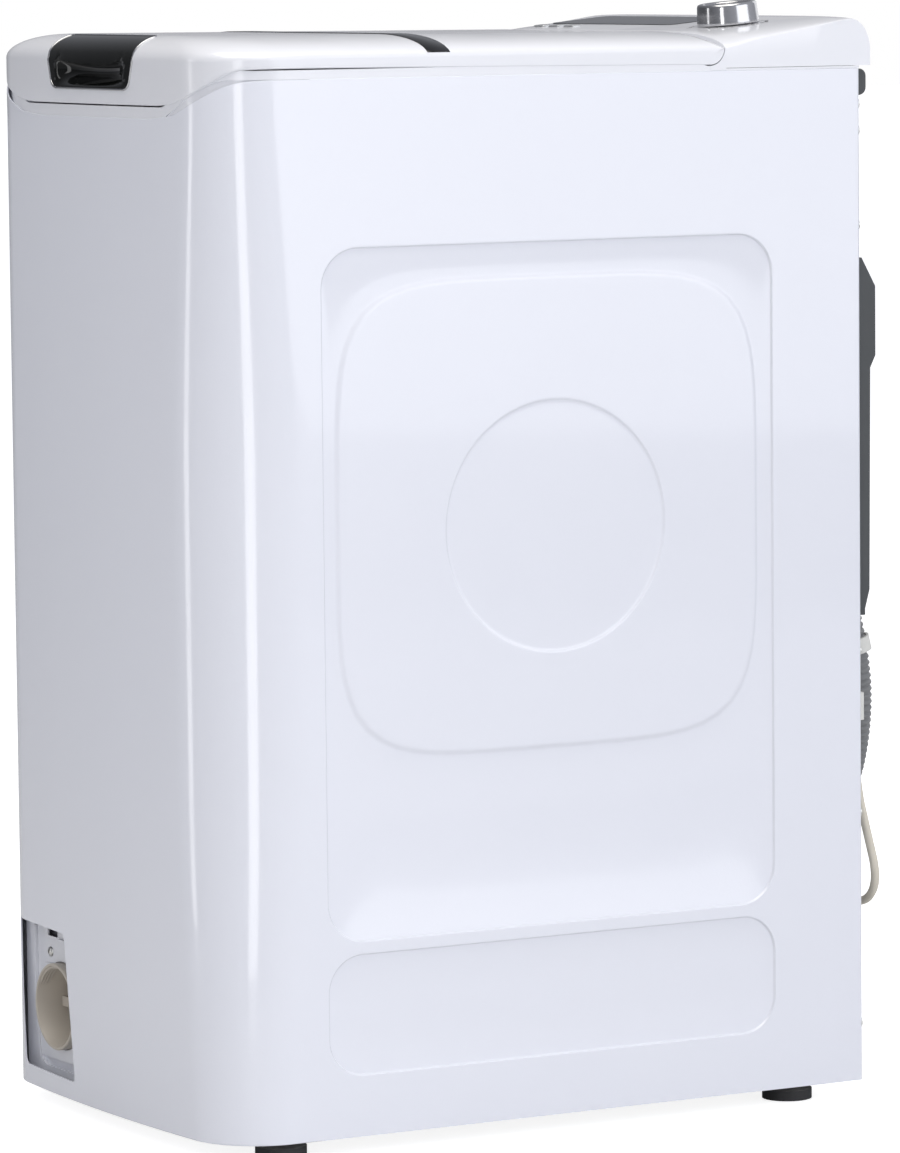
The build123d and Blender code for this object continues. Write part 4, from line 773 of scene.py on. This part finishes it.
def lid_outer(inset=0.0):
    """Outer edge of the lid, from one end of its hinge round the front to the other."""
    side_steps = 10
    side = [(half - inset, hinge.y + (flat_start - hinge.y) * k / side_steps) for k in range(side_steps)]
    return side + front_outline(lid_radius, inset) + [(-x, y) for x, y in reversed(side)]


def lid_inner():
    """Edge of the flat plateau, station by station with the outer edge."""
    outer = lid_outer()
    centre_y, reach = -0.232, 0.036
    found = []
    for x, y in outer:
        if y > centre_y:
            found.append((math.copysign(plateau_half, x), y))
        elif abs(x) > half - lid_radius:
            angle = math.atan2(-(y - (apex + lid_radius + 0.007)), abs(x) - (half - lid_radius))
            found.append((math.copysign(plateau_half - reach * (1 - math.cos(max(0.0, angle))), x),
                          centre_y - reach * math.sin(max(0.0, angle))))
        else:
            found.append((x * (plateau_half - reach) / (half - lid_radius), centre_y - reach))
    return found


def edge_height(y):
    """Where the lid's upright face turns over into its pillow."""
    share = min(1.0, max(0.0, (y - apex) / 0.09))
    return front_edge + (side_edge - front_edge) * share


def lid_foot(x, y):
    """Lower edge of the lid: high over the sides, low over the front, and falling gently to the back."""
    return along(lid_seam, abs(x), 0.006) - 0.0035 * min(1.0, max(0.0, (y + 0.2) / 0.34))


def lid_rows():
    outer, inner = lid_outer(), lid_inner()
    rows = []
    for inset, lift in ((0.0022, 0.0), (0.0008, 0.0), (0.0001, 0.0007)):
        rows.append([(x, y, lid_foot(x, y) + lift) for x, y in lid_outer(inset)])
    for share in (0.3, 0.65, 0.95):
        row = []
        for x, y in outer:
            low = lid_foot(x, y) + 0.0007
            row.append((x, y, low + (edge_height(y) - low) * share))
        rows.append(row)
    for share in rise_steps:
        row = []
        for (x, y), (ix, iy) in zip(outer, inner):
            edge = edge_height(y)
            px, py = x + (ix - x) * share, y + (iy - y) * share
            row.append((px, py, edge + (crown(py) - edge) * pillow(share)))
        rows.append(row)
    return rows


def lid_roll():
    """The rounded back edge, turned about the hinge."""
    stations = []
    for share in rise_steps:
        x = half + (plateau_half - half) * share
        stations.append((x, side_edge + (crown(hinge.y) - side_edge) * pillow(share)))
    columns = stations + [(-x, z) for x, z in reversed(stations)]
    rows = []
    for step in range(13):
        angle = math.radians(15 * step)
        row = []
        for x, top in columns:
            y = hinge.y + roll_radius * math.sin(angle)
            reach = top - hinge.z if step <= 6 else roll_radius
            row.append((x, y, hinge.z + reach * math.cos(angle)))
        rows.append(row)
    return rows


def lid_ends(side):
    """Cheeks that close the roll's two ends."""
    roll = [row[0] for row in lid_roll()]
    low, high = roll[-1][2], roll[0][2]
    arc = [(side * x, y, z) for x, y, z in roll]
    chord = [(side * half, hinge.y, high + (low - high) * k / (len(roll) - 1)) for k in range(len(roll))]
    return lattice("cheek", [arc, chord], inside_out=side > 0)


top_sheet = lattice("lid_top", lid_rows(), inside_out=True)
roll_sheet = lattice("lid_roll", lid_roll(), inside_out=True)
plateau = lid_rows()[-1]
plateau_half_count = len(plateau) // 2 + 1
plateau_sheet = lattice("lid_plateau", [list(pair) for pair in zip(plateau[:plateau_half_count],
                                                                   reversed(plateau[-plateau_half_count:]))])
lid_skin = join("lid_skin", top_sheet, roll_sheet, plateau_sheet, lid_ends(1), lid_ends(-1))


# ---------------------------------------------------------------- handle set into the lid's front edge
handle_base, handle_reach = 0.8160, 0.023
front_depth = 0.032


def front_surface(x, run):
    """Point on the lid's front: run 0 at the handle's foot, 1 at the pillow's start, 2 at its back end."""
    if run <= 1:
        return Vector((x, bow(x), handle_base + (front_edge - handle_base) * run))
    share = (run - 1) * handle_reach / front_depth
    y = bow(x) + front_depth * share
    return Vector((x, y, front_edge + (crown(y) - front_edge) * pillow(share)))


def handle_half(run):
    """Half width of the handle along its run, with rounded lower and upper corners."""
    wide = 0.066 + 0.007 * min(1.0, run)
    corner = 0.30
    if run < corner:
        wide -= 0.008 * (1 - math.sqrt(1 - (1 - run / corner) ** 2))
    if run > 2 - 0.2:
        wide -= 0.004 * (1 - math.sqrt(max(0.0, 1 - ((run - 1.8) / 0.2) ** 2)))
    return wide


bowl_half_width, bowl_foot, bowl_lip, lip_sag, bowl_depth, deepest = 0.057, 0.8175, 0.8385, 0.0035, 0.013, 0.62


def scoop(x, z):
    """How deep the finger bowl is at a point of the front."""
    across = min(1.0, abs(x) / bowl_half_width)
    lip = bowl_lip - lip_sag * (1 - across ** 2)
    share = (z - bowl_foot) / (lip - bowl_foot)
    if not 0 < share < 1:
        return 0.0
    rise = math.sin(math.pi / 2 * min(1.0, share / deepest))
    fall = math.sqrt(max(0.0, 1 - max(0.0, (share - deepest) / (1 - deepest)) ** 4))
    return bowl_depth * (1 - across ** 2.6) ** 0.7 * rise ** 1.4 * fall


def handle_rows(grow=0.0, bowl=True, raise_by=0.0004):
    """Rows of the handle's face from its foot up and back: wider by a little, with or without its bowl."""
    runs = [k / 34 for k in range(34)] + [1 + k / 14 for k in range(15)]
    rows = []
    for run in runs:
        wide = handle_half(run) + grow
        row = []
        for step in range(49):
            x = wide * (step / 24 - 1)
            place = front_surface(x, run)
            if run <= 1:
                out = Vector((0, -1, 0))
            else:
                share = (run - 1) * handle_reach / front_depth
                out = Vector((0, -(1 - share), pillow(share) + 0.0001)).normalized()
            place = place + out * raise_by
            if bowl:
                place.y += scoop(place.x, place.z)
            row.append(place)
        rows.append(row)
    return rows


handle_cutter = lattice("handle_cutter", handle_rows(-0.0004, False, 0.003))
face_out(thicken(handle_cutter, 0.012))
thicken(lid_skin, 0.0022)
cut(lid_skin, handle_cutter)
smooth(lid_skin, 40)
finish_piece(lid_skin, "lid", "white_plastic", "lid_shell")

handle = lattice("lid_grip", handle_rows())
thicken(handle, 0.0015)
smooth(handle, 50)
finish_piece(handle, "lid", "black_gloss", "lid_handle")

rows = handle_rows(0.0003, False, 0.0002)
rim_line = ([row[0] for row in rows] + rows[-1][1:-1] + [row[-1] for row in reversed(rows)]
            + list(reversed(rows[0][1:-1])))
rim_rows = []
rim_radius = 0.0009
for index, place in enumerate(rim_line):
    aim = (rim_line[(index + 1) % len(rim_line)] - rim_line[index - 1]).normalized()
    across = aim.cross(Vector((0, -0.7, 0.7))).normalized()
    other = aim.cross(across)
    rim_rows.append(loop([place + rim_radius * (across * math.cos(math.pi / 4 * k)
                                                + other * math.sin(math.pi / 4 * k)) for k in range(8)]))
rim_rows.append(rim_rows[0])
handle_rim = lattice("grip_rim", rim_rows)
face_out(handle_rim)
smooth(handle_rim, 60)
finish_piece(handle_rim, "lid", "chrome")


# ---------------------------------------------------------------- dark stripe across the lid
def stripe_rows():
    """Rows of the stripe from front to back, lying just over the lid."""
    rows = []
    for y in (-0.1106, -0.1102, -0.1006, -0.0910, -0.0906):
        lift = 0.0002 if y in (-0.1106, -0.0906) else 0.0005
        row = []
        shares = [0.02] + [0.05 + 0.95 * k / 15 for k in range(16)]
        for sign in (1, -1):
            part_row = []
            for share in shares:
                x = half + (plateau_half - half) * share
                z = side_edge + (crown(y) - side_edge) * pillow(share)
                lean = Vector((1 - share, 0, pillow(share))).normalized()
                part_row.append(Vector((sign * (x + lean.x * lift), y, z + lean.z * lift)))
            row += part_row if sign > 0 else list(reversed(part_row))
        rows.append(row)
    return rows


stripe = lattice("lid_stripe", stripe_rows(), inside_out=True)
thicken(stripe, 0.0008)
smooth(stripe, 40)
finish_piece(stripe, "lid", "dark_gloss", "lid_inlay")


# ---------------------------------------------------------------- console behind the lid
console_low, console_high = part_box("console")
console_start, console_end, console_floor = console_low.y, console_high.y, console_low.z
crest_y = 0.272
front_middle, crest_middle = 0.854, 0.865
console_sides = [(0.1558, 0.8395), (0.1835, 0.8476), (0.2262, 0.8548), (0.242, 0.8578), (0.272, 0.8633)]
turn_height = 0.838


def console_section(y, middle, edge):
    """Points across the console at one depth: upright cheek, pillow, plateau, and the same again."""
    end = console_high.x
    points = [(end, y, console_floor), (end, y, console_floor + (edge - console_floor) * 0.5)]
    for share in rise_steps:
        x = end + (plateau_half - end) * share
        points.append((x, y, edge + (middle - edge) * pillow(share)))
    return points + [(-x, yy, z) for x, yy, z in reversed(points)]


def console_rows():
    """Rows of the console from its front edge over the slope and down its rounded back."""
    def middle(y):
        return front_middle + (crest_middle - front_middle) * (y - console_start) / (crest_y - console_start)

    def edge(y):
        return along(console_sides, y, 0.006)

    first = console_section(console_start, middle(console_start), edge(console_start))
    rows = [[(x, y, console_floor) for x, y, z in first]]
    for y, drop in ((console_start, 0.0012), (console_start + 0.0004, 0.0003), (console_start + 0.0013, 0.0)):
        rows.append(console_section(y, middle(y) - drop, edge(y) - drop))
    for step in range(1, 15):
        y = console_start + 0.0013 + (crest_y - console_start - 0.0013) * step / 14
        rows.append(console_section(y, middle(y), edge(y)))
    for step in range(1, 13):
        angle = math.pi / 2 * step / 12
        y = crest_y + (console_end - crest_y) * math.sin(angle)
        rows.append(console_section(y, turn_height + (crest_middle - turn_height) * math.cos(angle),
                                    turn_height + (edge(crest_y) - turn_height) * math.cos(angle)))
    rows.append([(x, console_end, console_floor) for x, y, z in first])
    return rows


console_skin = lattice("console_skin", console_rows(), inside_out=True)
close_ends(console_skin)

slope = math.atan2(crest_middle - front_middle, crest_y - console_start)
console_up = Vector((0, -math.sin(slope), math.cos(slope)))
console_run = Vector((0, math.cos(slope), math.sin(slope)))


def on_console(x, run, lift=0.0):
    """A point over the console's sloped top: x across, run back from its front edge, lift off it."""
    return Vector((x, console_start, front_middle)) + console_run * run + console_up * lift


def plate_outline(x_low, x_high, run_low, run_high, radius):
    return rounded_corners([(x_high, run_high), (x_low, run_high), (x_low, run_low), (x_high, run_low)], radius)


cut(console_skin, prism("display_pocket", plate_outline(-0.1485, 0.0465, 0.0435, 0.1005, 0.0125),
                        lambda p, level: on_console(p.x, p.y, level), 0.01, -0.0021))
for number in (1, 2, 3):
    low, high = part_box(f"button_{number}")
    middle_x = (low.x + high.x) / 2
    cut(console_skin, prism("button_pocket", plate_outline(middle_x - 0.0083, middle_x + 0.0083, 0.0212, 0.0308,
                                                           0.003), lambda p, level: on_console(p.x, p.y, level),
                            0.012, -0.004))
cheek_radius = 0.0138
cheek_arc = [(hinge.y + cheek_radius * math.sin(math.radians(a)),
              hinge.z - cheek_radius * math.cos(math.radians(a))) for a in range(0, 91, 6)]
cheek_line = [Vector(p) for p in [(hinge.y, console_floor - 0.0015)] + cheek_arc
              + [(console_start + 0.0004, hinge.z), (console_start + 0.0004, console_floor - 0.0015)]]
console_cheeks = [prism("cheek", cheek_line, lambda p, level: (level, p.x, p.y), 0.03, start)
                  for start in (-0.1997, 0.1697)]
console_skin = smooth(join("console_skin", console_skin, *console_cheeks), 40)
finish_piece(console_skin, "cabinet", "white_plastic", "console")


# ---------------------------------------------------------------- program knob
knob_x, knob_run = 0.120, (0.208 - console_start) / math.cos(slope)
knob_profile = [(0.0, 16.0), (16.6, 16.0), (17.6, 15.9), (18.2, 15.95), (18.7, 16.4), (19.3, 17.0),
                (20.2, 17.4), (21.6, 17.5), (22.8, 17.1), (23.5, 16.2), (23.8, 15.0), (24.2, 9.0),
                (24.7, 3.0), (24.9, 1.4), (24.6, 0.9), (22.0, 0.8), (0.0, 0.8)]
knob = lathe("program_dial", millimetres(knob_profile), on_console(knob_x, knob_run), console_up, 96)
smooth(knob, 40)
finish_piece(knob, "knob", "chrome", "program_knob")
dial_place = (Matrix.Translation(on_console(knob_x, knob_run)) @
              Vector((0, 0, 1)).rotation_difference(console_up).to_matrix().to_4x4())
pointer = block("dial_pointer", (-0.0008, -0.0175, 0.0158), (0.0008, -0.0085, 0.0166), 0.0003)
pointer.data.transform(dial_place)
finish_piece(pointer, "knob", "dark_gloss")

ticks = []
for index in range(28):
    angle = math.radians(-150 + 300 * index / 27)
    length = 0.0042 if index % 3 == 0 else 0.0026
    tick = block("tick", (-0.00028, 0.0292, -0.0001), (0.00028, 0.0292 + length, 0.00012), 0.00004, 1)
    tick.data.transform(dial_place @ Matrix.Rotation(angle, 4, "Z"))
    ticks.append(tick)
dial_marks = join("dial_marks", *ticks)
finish_piece(dial_marks, "cabinet", "dark_plastic")


# ---------------------------------------------------------------- lint filter behind its opening
filter_centre = Vector((-0.110, -0.289, 0.081))
collar_profile = [(32.5, 0.6), (33.0, 0.0), (34.4, 0.0), (35.0, 0.7), (35.0, 39.0), (32.5, 39.0), (32.5, 0.6)]
filter_collar = lathe("filter_collar", millimetres(collar_profile), filter_centre, (0, 1, 0), 96)
threads = []
for index in range(4):
    rows = []
    for step in range(25):
        angle = math.radians(78 + 76 * step / 24)
        fade = min(1.0, 8 * step / 24, 8 * (24 - step) / 24 + 0.15)
        centre = Vector((math.cos(angle), 0, math.sin(angle)))
        rows.append(loop([filter_centre
                          + centre * (0.0324 - 0.0009 * fade * max(0, math.cos(math.pi / 4 * k)) * 1.6)
                          + Vector((0, 0.002 + 0.0026 * index + 0.00065 * math.sin(math.pi / 4 * k), 0))
                          for k in range(8)]))
    threads.append(close_ends(lattice("thread", rows)))
filter_collar = smooth(join("filter_collar", filter_collar, *threads), 40)
finish_piece(filter_collar, "cabinet", "beige_plastic", "filter_neck")


def backing(name, outline, face, thickness, steps=60):
    """A flat moulded plate of a given outline, its face at one depth."""
    low_x, high_x = min(p[0] for p in outline), max(p[0] for p in outline)
    rows = []
    for step in range(steps + 1):
        x = min(high_x - 0.00001, max(low_x + 0.00001, low_x + (high_x - low_x) * step / steps))
        marks = [z0 + (z1 - z0) * (x - x0) / (x1 - x0) for (x0, z0), (x1, z1) in
                 zip(outline, outline[1:] + outline[:1]) if (x0 - x) * (x1 - x) < 0]
        rows.append([(x, face, min(marks) + (max(marks) - min(marks)) * k / 20) for k in range(21)])
    return face_out(thicken(lattice(name, rows), thickness))


def neck_room(radius):
    """Cutter that keeps the way to the filter free."""
    return lathe("neck_room", [(0.0, -0.03), (radius, -0.03), (radius, 0.03), (0.0, 0.03)],
                 (filter_centre.x, -0.27, filter_centre.z), (0, 1, 0), 64)


plate_face = -0.2795
back_plate = backing("surround_back", [(-0.1735, 0.019), (-0.1735, 0.156), (-0.042, 0.156), (-0.042, 0.019)],
                     plate_face, -0.0016)
cut(back_plate, neck_room(0.0355),
    block("latch_slot", (-0.1395, -0.29, 0.1345), (-0.1215, -0.24, 0.1415), 0.001))
outer_step = backing("surround_step", [(-0.1735, 0.019), (-0.1735, 0.156), (-0.1640, 0.156), (-0.1630, 0.147),
                                       (-0.1570, 0.139), (-0.1560, 0.060), (-0.1520, 0.045), (-0.1500, 0.034),
                                       (-0.1400, 0.029), (-0.042, 0.029), (-0.042, 0.019)],
                     plate_face - 0.0025, -0.0030)
neck_step = backing("surround_neck_step", [(-0.1520, 0.046), (-0.1520, 0.096), (-0.1480, 0.103),
                                           (-0.1440, 0.112), (-0.1240, 0.114), (-0.1235, 0.130),
                                           (-0.1180, 0.134), (-0.042, 0.134), (-0.042, 0.036),
                                           (-0.148, 0.036)], plate_face - 0.0018, -0.0024)
cut(neck_step, neck_room(0.0358))
surround_plate = smooth(join("surround_plate", back_plate, outer_step, neck_step), 30)
finish_piece(surround_plate, "cabinet", "white_plastic")

screw_profile = [(0.0, 1.2), (1.0, 1.2), (1.2, 2.2), (2.6, 1.9), (3.9, 1.0), (4.2, 0.0), (0.0, 0.0)]
screw_head = lathe("filter_screw", millimetres(screw_profile), (-0.134, plate_face + 0.0002, 0.1218),
                   (0, -1, 0), 32)
smooth(screw_head, 40)
finish_piece(screw_head, "cabinet", "zinc")


# ---------------------------------------------------------------- studio
floor_material = bpy.data.materials.new("studio_floor")
floor_material.use_nodes = True
floor_shader = floor_material.node_tree.nodes["Principled BSDF"]
floor_shader.inputs["Base Color"].default_value = (0.6, 0.6, 0.6, 1)
floor_shader.inputs["Roughness"].default_value = 0.7
floor_shader.inputs["Emission Color"].default_value = (1, 1, 1, 1)
floor_rays = node(floor_material.node_tree, "ShaderNodeLightPath")
floor_glow = node(floor_material.node_tree, "ShaderNodeMapRange")
floor_glow.inputs["To Min"].default_value, floor_glow.inputs["To Max"].default_value = 0.08, 0.85
wire(floor_material.node_tree, (floor_rays, "Is Camera Ray", floor_glow, "Value"),
     (floor_glow, "Result", floor_shader, "Emission Strength"))
bpy.ops.mesh.primitive_plane_add(size=60, location=(0, 0, -0.0006))
floor = bpy.context.active_object
floor.name = "studio_floor"
floor.data.materials.append(floor_material)

world = bpy.data.worlds.new("studio")
bpy.context.scene.world = world
world.use_nodes = True
tree = world.node_tree
sky = tree.nodes["Background"]
sky.inputs["Color"].default_value = (0.89, 0.915, 1.0, 1)
aim = node(tree, "ShaderNodeVectorMath", {1: (0.62, 0.52, 0.58)}, operation="DOT_PRODUCT")
glow = node(tree, "ShaderNodeMapRange", {"From Min": -0.9, "From Max": 0.8, "To Min": 0.1, "To Max": 0.6})
tree.links.new(node(tree, "ShaderNodeTexCoord").outputs["Generated"], aim.inputs[0])
wire(tree, (aim, "Value", glow, "Value"), (glow, "Result", sky, "Strength"))
seen = tree.nodes.new("ShaderNodeBackground")
seen.inputs["Color"].default_value = (1, 1, 1, 1)
chooser = tree.nodes.new("ShaderNodeMixShader")
rays = tree.nodes.new("ShaderNodeLightPath")
wire(tree, (rays, "Is Camera Ray", chooser, "Fac"), (sky, "Background", chooser, 1),
     (seen, "Background", chooser, 2))
tree.links.new(chooser.outputs["Shader"], tree.nodes["World Output"].inputs["Surface"])
bpy.context.scene.view_settings.view_transform = "Standard"


def softbox(name, place, aim, size, power, colour=(1, 1, 1)):
    """A soft rectangular studio light."""
    light = bpy.data.lights.new(name, "AREA")
    light.shape = "RECTANGLE"
    light.size, light.size_y = size
    light.energy = power
    light.color = colour
    lamp = bpy.data.objects.new(name, light)
    lamp.location = place
    lamp.rotation_euler = (Vector(aim) - Vector(place)).to_track_quat("-Z", "Y").to_euler()
    lamp.visible_camera = False
    bpy.context.scene.collection.objects.link(lamp)


middle = (0, 0, 0.45)
softbox("side_wall", (3.2, 1.9, 1.5), middle, (3.2, 2.6), 41, (0.95, 0.97, 1.0))
softbox("overhead", (0.6, -0.4, 3.4), middle, (2.6, 2.6), 70, (1.0, 0.96, 0.88))
softbox("corner_strip_left", (-0.41, -1.24, 0.62), middle, (0.15, 1.2), 1.4)
softbox("corner_strip_right", (1.03, -0.98, 0.62), middle, (0.24, 1.2), 3.0)
softbox("back_fill", (-1.6, 3.0, 1.6), middle, (2.0, 2.0), 10)
